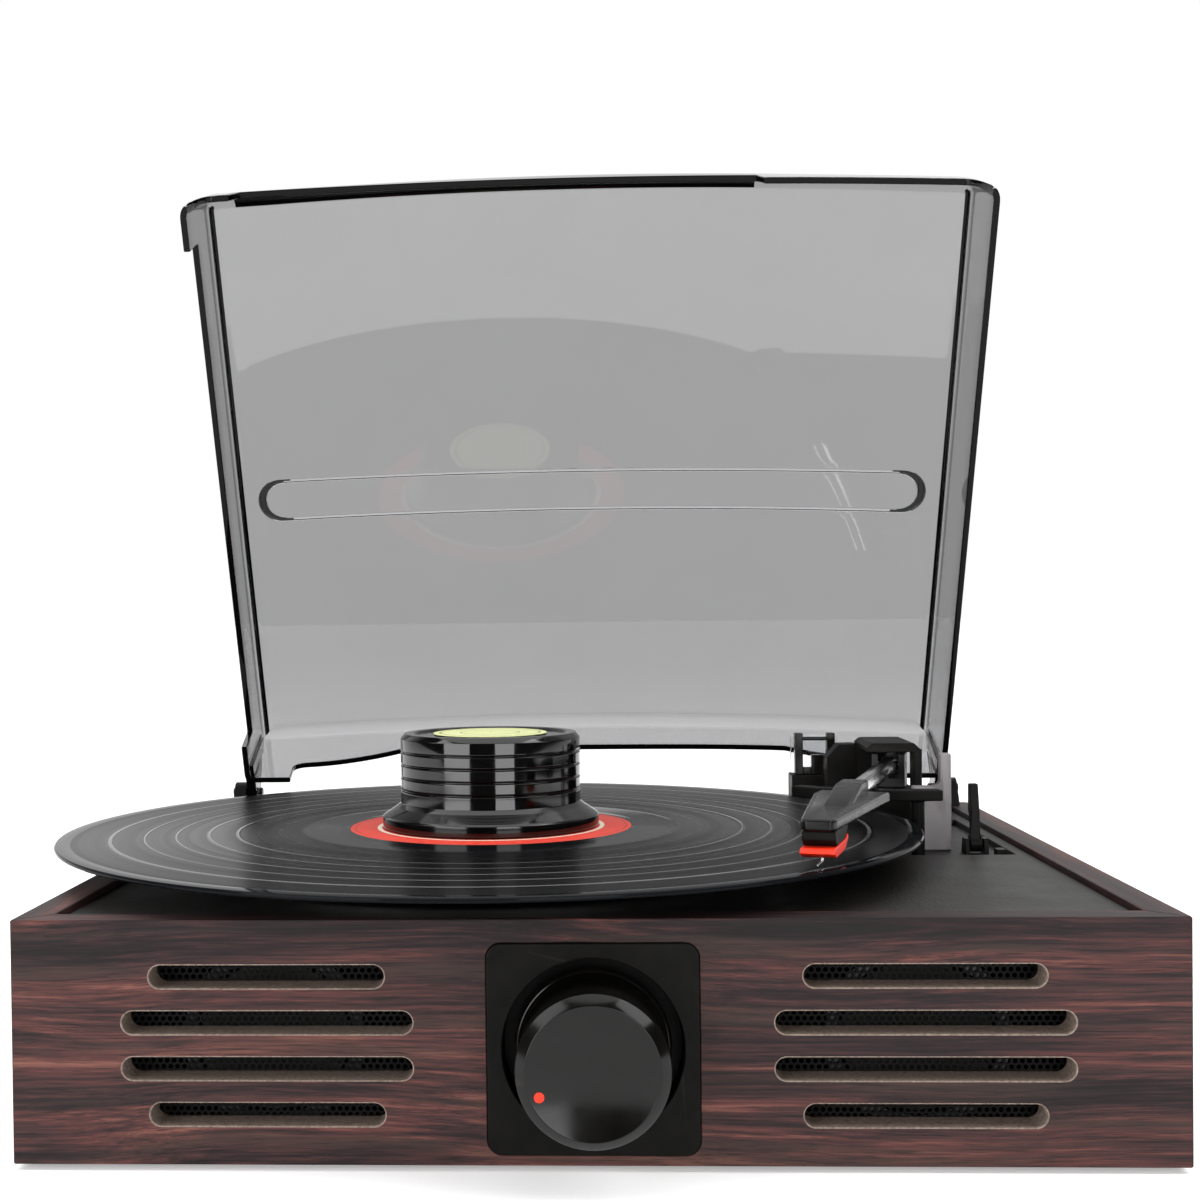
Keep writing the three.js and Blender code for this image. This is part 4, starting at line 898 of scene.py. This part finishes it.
def make_drive():
    low, high = box_mm("platter")
    top, bottom, radius = high.z, low.z, (high.x - low.x) / 2
    under = top - 2.8
    outline = [
        (3.65, bottom), (10, bottom), (10, under), (62, under), (62, 70.8), (65, 70.8), (65, under),
        (95, under), (95, 71.2), (radius, 71.2), (radius, top), (radius - 8, top), (radius - 8.6, top - 0.4),
        (14, top - 0.4), (13.4, top), (3.65, top),
    ]
    platter = lathe("cast_platter", rounded(outline, 0.6, 3), SPINDLE_FRAME, 160, closed=True)
    stands_for(platter, "pressed", "platter")
    low, high = box_mm("slip_mat")
    edge = (high.x - low.x) / 2
    outline = rounded([(3.7, low.z), (edge, low.z), (edge, high.z), (3.7, high.z)], 0.5, 3)
    mat = lathe("felt_mat", outline, SPINDLE_FRAME, 128, closed=True)
    stands_for(mat, "felt", "slip_mat")
    low, high = box_mm("spindle")
    r = (high.x - low.x) / 2
    outline = [(0, low.z), (r - 0.3, low.z), (r, low.z + 0.3), (r, high.z - 2.4), (r - 0.5, high.z - 1.2)]
    outline += [(r - 1.6, high.z - 0.3), (0, high.z)]
    stands_for(lathe("turned_spindle", outline, SPINDLE_FRAME, 64), "tube", "spindle")
    refine_all(
        ("motor", 0.2, 2, 35, "steel", "steel"),
        ("motor_pulley", 0.2, 2, 35, "brass", "brass"),
        ("platter_bearing", 0.2, 2, 35, "brass", "brass"),
        ("drive_belt", 0.15, 2, 40, "rubber", "rubber"),
    )


# ---- tonearm ------------------------------------------------------------------------------------
def make_arm():
    refine_all(
        ("arm_base", 0.8, 3, 32, "satin", "satin_black"),
        ("arm_tower", 0.5, 3, 32, "satin", "satin_black"),
        ("arm_yoke", 0.3, 3, 32, "dark_metal", "steel"),
        ("arm_pin", 0.2, 3, 32, "steel", "steel"),
        ("cartridge", 0.4, 3, 32, "satin", "satin_black"),
        ("stylus_holder", 0.35, 3, 32, "red", "red_plastic"),
        ("cue_lift_bar", 0.6, 3, 32, "satin", "grey_plastic"),
        ("cue_lever", 0.5, 3, 32, "satin", "satin_black"),
        ("lever_mount", 0.25, 3, 32, "satin", "satin_black"),
        ("speed_selector", 0.3, 3, 32, "satin", "satin_black"),
        ("arm_rest", 0.6, 3, 32, "grey", "grey_plastic"),
        ("stand_base", 0.6, 3, 32, "satin", "satin_black"),
        ("stand_fork", 0.35, 3, 32, "gloss", "satin_black"),
        ("stand_window", 0.3, 3, 32, "clear", "clear_plastic"),
    )

    lie_back = ARM_FRAME @ Matrix.Rotation(radians(90), 4, "X")
    tube = [(0, 112), (2.9, 112), (3.5, 111.4), (3.5, 3.4), (3.5, -4.6), (3.1, -5), (0, -5)]
    stick = lathe("arm_tube_fine", tube, lie_back, 96)
    stands_for(stick, "tube", "arm_tube")
    weight = [(0, -5.1), (4.4, -5.1), (5, -5.7), (5, -9.8), (4.4, -10.4), (0, -10.4)]
    turned = lathe("arm_weight", weight, lie_back, 64)
    stands_for(turned, "dark_metal", "arm_counterweight")

    plan = [(-11.4, -104), (12, -106), (11, -114), (5.4, -183), (4, -185.5), (-4, -185.5)]
    plan += [(-5.4, -183), (-12.4, -113)]
    shell = bevelled(prism("headshell_fine", plan, -3, 0.6, "z", ARM_FRAME), 0.9, 3)
    spine = [(-103, -4.6), (-103, 4.4), (-118, 4.4), (-150, 0.5), (-150, -2.8), (-118, -4.6)]
    collar = bevelled(prism("collar", spine, -4.6, 4.6, "x", ARM_FRAME), 1.1, 3)
    added(shell, collar)
    cut(shell, prism("socket", circle(0, 0, 3.65, 48), -112.3, -100, "y", ARM_FRAME))
    smoothed(shell, 30)
    stands_for(shell, "headshell", "headshell")

    low, high = box_mm("stylus")
    tip, top = low.z - PIVOT.z, high.z - PIVOT.z

    def on_arm(y, z, tilt=0):
        return ARM_FRAME @ Matrix.Translation((0, y, z)) @ Matrix.Rotation(radians(tilt), 4, "X")

    rod = [(0, 0), (0.28, 0), (0.34, 9.6), (0, 9.6)]
    rod = lathe("cantilever", rod, on_arm(-185.6, tip + 0.9, -90), 20)
    diamond = lathe("diamond", [(0, 0), (0.28, 0.5), (0.28, 1.0), (0, 1.0)], on_arm(-185.3, tip), 20)
    root = slab("root", (-0.35, 0.35), (-177, -176), (tip + 0.7, top), ARM_FRAME)
    added(rod, diamond, root)
    stands_for(smoothed(rod, 30), "tube", "stylus")


# ---- lid ----------------------------------------------------------------------------------------
LID = {
    "half": 152.5, "front": 11.0, "rear": 261.0, "rim": 69.6, "side": 42.0, "crown": 10.0,
    "skin": 2.5, "corner": 7.0, "rear_corner": 3.6, "bow": 3.0, "lean": 5.0,
}
NOTCH = {"left": -136.0, "right": 66.1, "top": 34.0, "front_top": 21.0, "half": 145.0}
ARCH = {"leg": 132.5, "shoulder": 86.0, "near": 12.5, "high": 25.0, "crest": 27.5}
RAIL_Y = 144.5


def lid_top(x):
    """The height of the crowned top over x."""
    reach = LID["half"] - LID["corner"]
    return LID["rim"] + LID["side"] + LID["crown"] * (1 - min(1.0, abs(x) / reach) ** 2)


def leaned(point):
    """Moves a point of the lid forward by its draught: all of it at the front of the rim."""
    x, y, z = point
    down = max(0.0, (LID["rim"] + LID["side"] - z) / LID["side"])
    ahead = (LID["rear"] - y) / (LID["rear"] - LID["front"])
    return (x, y - LID["lean"] * down * ahead, z)


def lid_outline(inset):
    """The lid's plan, moved in by inset, with the same number of points whatever the inset."""
    half, front, rear = LID["half"] - inset, LID["front"] + inset, LID["rear"] - inset
    near = max(LID["corner"] - inset, 0.25)
    far = max(LID["rear_corner"] - inset, 0.25)
    bow = LID["bow"]

    def spread(a, b, count):
        return [a + (b - a) * k / count for k in range(1, count)]

    points = arc(half - far, rear - far, far, 0, 90, 8)
    points += [(x, rear) for x in spread(half - far, far - half, 40)]
    points += arc(far - half, rear - far, far, 90, 90, 8)
    points += [(-half, y) for y in spread(rear - far, front + bow + near, 24)]
    points += arc(near - half, front + bow + near, near, 180, 90, 8)
    straight = half - near
    points += [(x, front + bow * (x / straight) ** 2) for x in spread(-straight, straight, 48)]
    points += arc(half - near, front + bow + near, near, 270, 90, 8)
    points += [(half, y) for y in spread(front + bow + near, rear - far, 24)]
    return points


def lid_rings(inset):
    """Rings of points from the rim up the walls and over the top, and the point in its middle."""
    fillet, rim, wall = LID["corner"] - inset, LID["rim"], lid_outline(inset)
    rings = [[(x, y, rim) for x, y in wall]]
    for share in (0.34, 0.67):
        rings.append([(x, y, rim + share * (lid_top(x) - inset - fillet - rim)) for x, y in wall])
    for step in range(9):
        turn = radians(90 * step / 8)
        inward = inset + fillet * (1 - math.cos(turn))
        drop = fillet * (1 - math.sin(turn))
        rings.append([(x, y, lid_top(x) - inset - drop) for x, y in lid_outline(inward)])
    edge = lid_outline(inset + fillet)
    middle_y = (LID["front"] + LID["rear"]) / 2
    for share in [1 - k / 26 for k in range(1, 26)]:
        ring = [(x * share, middle_y + (y - middle_y) * share) for x, y in edge]
        rings.append([(x, y, lid_top(x) - inset) for x, y in ring])
    return rings, (0, middle_y, lid_top(0) - inset)


def lid_shell():
    """An outer and an inner sheet, joined at the rim."""
    points, faces = [], []

    def sheet(inset):
        rings, crown = lid_rings(inset)
        count = len(rings[0])
        first = len(points)
        for ring in rings:
            points.extend(leaned(point) for point in ring)
        for r in range(len(rings) - 1):
            a, b = first + r * count, first + (r + 1) * count
            faces.extend((a + k, a + (k + 1) % count, b + (k + 1) % count, b + k) for k in range(count))
        last = first + (len(rings) - 1) * count
        points.append(crown)
        faces.extend((last + k, last + (k + 1) % count, len(points) - 1) for k in range(count))
        return first, count

    outer, count = sheet(0.0)
    inner, _ = sheet(LID["skin"])
    for k in range(count):
        n = (k + 1) % count
        faces.append((outer + k, inner + k, inner + n, outer + n))
    return outward(built("lid_moulding", points, faces))


def lid_ear(side):
    """The lug at the rear of a side wall that turns on the hinge pin."""
    y, z = HINGE.y, HINGE.z
    root = LID["rear"] - 8
    outline = [(root, LID["rim"] + 1), (y - 1, z - 4.9), *arc(y, z, 5, -90, 198, 16), (root, LID["rim"] + 30)]
    x = side * (LID["half"] - 2)
    return prism("ear", outline, x - 2, x + 2, "x")


def rail_tool(length, height, rise):
    """A racetrack-shaped bar that reaches rise mm into the lid's top from below, all along its crown."""
    y, end = RAIL_Y, height / 2
    straight = length / 2 - end
    stations = [straight + end * math.sin(radians(90 * k / 10)) for k in range(11)]
    across = [-x for x in reversed(stations)] + [straight * k / 30 for k in range(-29, 30)] + stations
    points, faces = [], []
    for x in across:
        over = max(0.0, abs(x) - straight)
        w = max(0.05, math.sqrt(max(0.0, end * end - over * over)))
        top = lid_top(x) - LID["skin"] + rise
        points += [(x, y - w, top - 8), (x, y + w, top - 8), (x, y + w, top), (x, y - w, top)]
    for i in range(len(across) - 1):
        a, b = 4 * i, 4 * i + 4
        faces += [(a + k, a + (k + 1) % 4, b + (k + 1) % 4, b + k) for k in range(4)]
    last = len(points) - 4
    faces += [(3, 2, 1, 0), (last, last + 1, last + 2, last + 3)]
    return outward(built("rail", points, faces))


def traced(start, *moves):
    """An outline of straight moves (x, z) and curved moves (control, end)."""
    points = [start]
    for move in moves:
        if hasattr(move[0], "__len__"):
            points += curve(points[-1], *move, 10)[1:]
        else:
            points.append(move)
    return points


def lid_cutters():
    """What is cut away: the notch in the front wall, the rim's steps and the arch in the rear wall."""
    rim, half = LID["rim"], LID["half"]
    low, lip, top = rim - 5, rim + NOTCH["front_top"], rim + NOTCH["top"]
    end, left, right = NOTCH["half"], NOTCH["left"], NOTCH["right"]
    wall = traced(
        (-end - 5, low), (end + 5, low), ((end + 3, lip), (end - 3, lip)), (right + 2, lip), (right, top),
        (left, top), (left - 2, lip), (3 - end, lip), ((-end - 3, lip), (-end - 5, low)),
    )[:-1]
    leg, shoulder = ARCH["leg"], ARCH["shoulder"]
    near, high, crest = rim + ARCH["near"], rim + ARCH["high"], rim + ARCH["crest"]
    sway = (leg + shoulder) / 2 - 3
    arch = traced(
        (-leg, low), (leg, low), (leg, near - 4), ((leg, near), (leg - 6, near + 0.5)),
        ((sway, near + 2.5), (shoulder, high)), ((shoulder * 0.7, crest), (0, crest)),
        ((-shoulder * 0.7, crest), (-shoulder, high)), ((-sway, near + 2.5), (6 - leg, near + 0.5)),
        ((-leg, near), (-leg, near - 4)),
    )
    return [
        prism("front_cut", wall, -6, 24, "y"),
        slab("lip_cut", (-half - 5, half + 5), (-6, 11.5), (low, 72.2)),
        slab("side_cut", (-half - 5, 6.5 - half), (28.5, 243), (low, rim + 14)),
        prism("rear_cut", arch, LID["rear"] - 6, LID["rear"] + 2, "y"),
    ]


def painted_shade_of(centre, normal):
    """How much painted shade a face of the shut lid gets. The sheet's edges, tight bends and the rail's walls
    are painted dark for the light they swallow.
    """
    rim = LID["rim"]
    if normal.z < -0.75 and centre.z < rim + 36:
        return 1.0
    slope = math.degrees(math.atan2(abs(normal.z), abs(normal.x)))
    if abs(normal.y) < 0.35 and abs(slope - 45) < 13 and centre.z > rim + 25:
        return 1.0
    lip = NOTCH["left"] - 4 < centre.x < NOTCH["right"] + 2 and centre.y < 24 and centre.z > rim + 30
    if lip and abs(normal.y) > 0.2:
        return 1.0
    end = 130.0 < abs(centre.x) < 142.2 and abs(centre.y - RAIL_Y) < 9.4
    if end and centre.z > lid_top(centre.x) - LID["skin"] + 0.3 and centre.z < lid_top(centre.x) - 1.0:
        return 0.92
    on_rail = abs(centre.y - RAIL_Y) < 11 and abs(centre.x) < 143.5
    return 0.85 if on_rail and abs(normal.z) < 0.9 else 0.0


def mark_edges(piece):
    """Stores the painted shade of every face of the open lid for its material."""
    shut = LID_FRAME.inverted()
    marks = piece.data.attributes.new("painted_edge_shade", "FLOAT", "FACE")
    for face in piece.data.polygons:
        normal = (shut.to_3x3() @ face.normal).normalized()
        marks.data[face.index].value = painted_shade_of(shut @ face.center, normal)


def make_lid():
    shell = cut(lid_shell(), *lid_cutters())
    added(shell, lid_ear(-1), lid_ear(1))
    cut(shell, prism("pins", circle(HINGE.y, HINGE.z, 1.96, 48), -200, 200, "x"))
    groove = cut(rail_tool(284.0, 18.6, 0.7), rail_tool(278.4, 16.2, 2.0))
    cut(shell, groove, rail_tool(281.4, 16.8, 0.06))
    shell.data.transform(LAYOUT.inverted())
    shell.data.transform(LID_FRAME)
    bevelled(shell, 0.4, 2, 55)
    mark_edges(shell)
    stands_for(shell, "acrylic", "lid_shell")
    for side in ("left", "right"):
        refine_all(
            (f"hinge_bracket_{side}", 0.4, 3, 40, "satin", "satin_black"),
            (f"hinge_pin_{side}", 0.3, 2, 40, "dark_metal", "steel"),
        )


# ---- inside and rear ----------------------------------------------------------------------------
def make_inside():
    for side in ("left", "right"):
        refine_all(
            (f"speaker_basket_{side}", 0.2, 2, 35, "dark_metal", "steel"),
            (f"speaker_cone_{side}", 0, 2, 40, "paper", "dark_paper"),
            (f"speaker_magnet_{side}", 0.5, 2, 40, "steel", "steel"),
        )
    refine_all(
        ("amplifier_board", 0.15, 1, 40, "board", "circuit_board"),
        ("jack_plate", 0.35, 3, 40, "satin", "satin_black"),
        ("phono_jacks", 0.25, 2, 40, "brass", "brass"),
        ("power_inlet", 0.3, 2, 40, "satin", "satin_black"),
    )
    low, high = box_mm("jack_plate")
    rear = LAYOUT @ Matrix.Translation((0, high.y, 0)) @ Matrix.Rotation(radians(-90), 4, "X")
    for i, x in enumerate((low.x + 4.5, high.x - 4.5)):
        make_screw(f"plate_screw_{i}", (x, -(low.z + high.z) / 2, 0), rear, 1.7)


# ---- floor, light -------------------------------------------------------------------------------
def make_floor():
    floor_look = Look("pale_floor")
    fine = floor_look.noise(3.0, 3.0, 0.5)
    tone = floor_look.tones(fine, 0.88, 0.91)
    # A little light of its own keeps the far floor as pale as the backdrop.
    glow = {"Emission Color": (1.0, 1.0, 1.0, 1.0), "Emission Strength": 0.3}
    floor_look.finish(Base_Color=tone, Roughness=0.7, Specular=0.2, **glow)
    floor = linked("floor", bpy.data.meshes.new("floor"))
    work = bmesh.new()
    bmesh.ops.create_circle(work, cap_ends=True, segments=256, radius=14.0)
    work.to_mesh(floor.data)
    work.free()
    # It ends a little way in front of the object, so that the front reflects a dim room.
    floor.location = (0, 13.35, -0.0003)
    floor.data.materials.append(floor_look.material)


def make_world():
    """A bright backdrop and a dim room in front of it light the object. What is seen directly or
    through the lid is pale all round."""
    scene.world = bpy.data.worlds.new("studio")
    scene.world.use_nodes = True
    tree = scene.world.node_tree
    place = add_node(tree, "ShaderNodeTexCoord").outputs["Generated"]
    ahead = add_node(tree, "ShaderNodeSeparateXYZ", {0: place}).outputs["Y"]
    half_turn = {0: ahead, 1: 0.5, 2: 0.5}
    share = add_node(tree, "ShaderNodeMath", half_turn, operation="MULTIPLY_ADD").outputs[0]
    ramp = add_node(tree, "ShaderNodeValToRGB", {0: share})
    room, backdrop = ramp.color_ramp.elements
    room.position, room.color = 0.7, (0.06, 0.06, 0.062, 1)
    backdrop.position, backdrop.color = 0.9, (1, 1, 1, 1)
    path = add_node(tree, "ShaderNodeLightPath").outputs
    rays = {0: path["Is Camera Ray"], 1: path["Is Transmission Ray"]}
    seen = add_node(tree, "ShaderNodeMath", rays, operation="MAXIMUM").outputs[0]
    choices = {0: seen, 6: ramp.outputs[0], 7: (1, 1, 1, 1)}
    chosen = add_node(tree, "ShaderNodeMix", choices, data_type="RGBA").outputs[2]
    tree.links.new(chosen, tree.nodes["Background"].inputs["Color"])


def make_lights():
    for name, place, aim, size, power in (
        ("over_left", (-1.5, -0.55, 1.5), (0, -0.1, 0.05), (1.2, 1.2), 16),
        ("over_right", (1.35, -0.45, 1.45), (0, -0.1, 0.05), (1.1, 1.2), 18),
        ("left_box", (-1.2, -1.45, 0.3), (0, 0, 0.1), (1.15, 1.5), 29),
        ("right_box", (0.66, -1.75, 0.3), (0, 0, 0.1), (0.8, 1.5), 20),
    ):
        data = bpy.data.lights.new(name, "AREA")
        data.shape = "RECTANGLE"
        data.size, data.size_y = size
        data.energy = power
        lamp = linked(name, data)
        lamp.location = place
        lamp.rotation_euler = (Vector(aim) - Vector(place)).to_track_quat("-Z", "Y").to_euler()
        lamp.visible_camera = False
        lamp.visible_transmission = False
    sky = bpy.data.lights.new("ceiling", "SUN")
    sky.energy = 2.2
    sky.angle = radians(70)
    linked("ceiling", sky).rotation_euler = (radians(-12), 0, 0)


make_camera()
make_plinth()
make_mesh("left")
make_mesh("right")
refine_all(("deck_plate", 0.3, 2, 40, "deck", "grained_black"))
make_base()
make_control()
make_record()
make_weight()
make_drive()
make_arm()
make_lid()
make_inside()
make_floor()
make_world()
make_lights()
scene.view_settings.view_transform = "Standard"
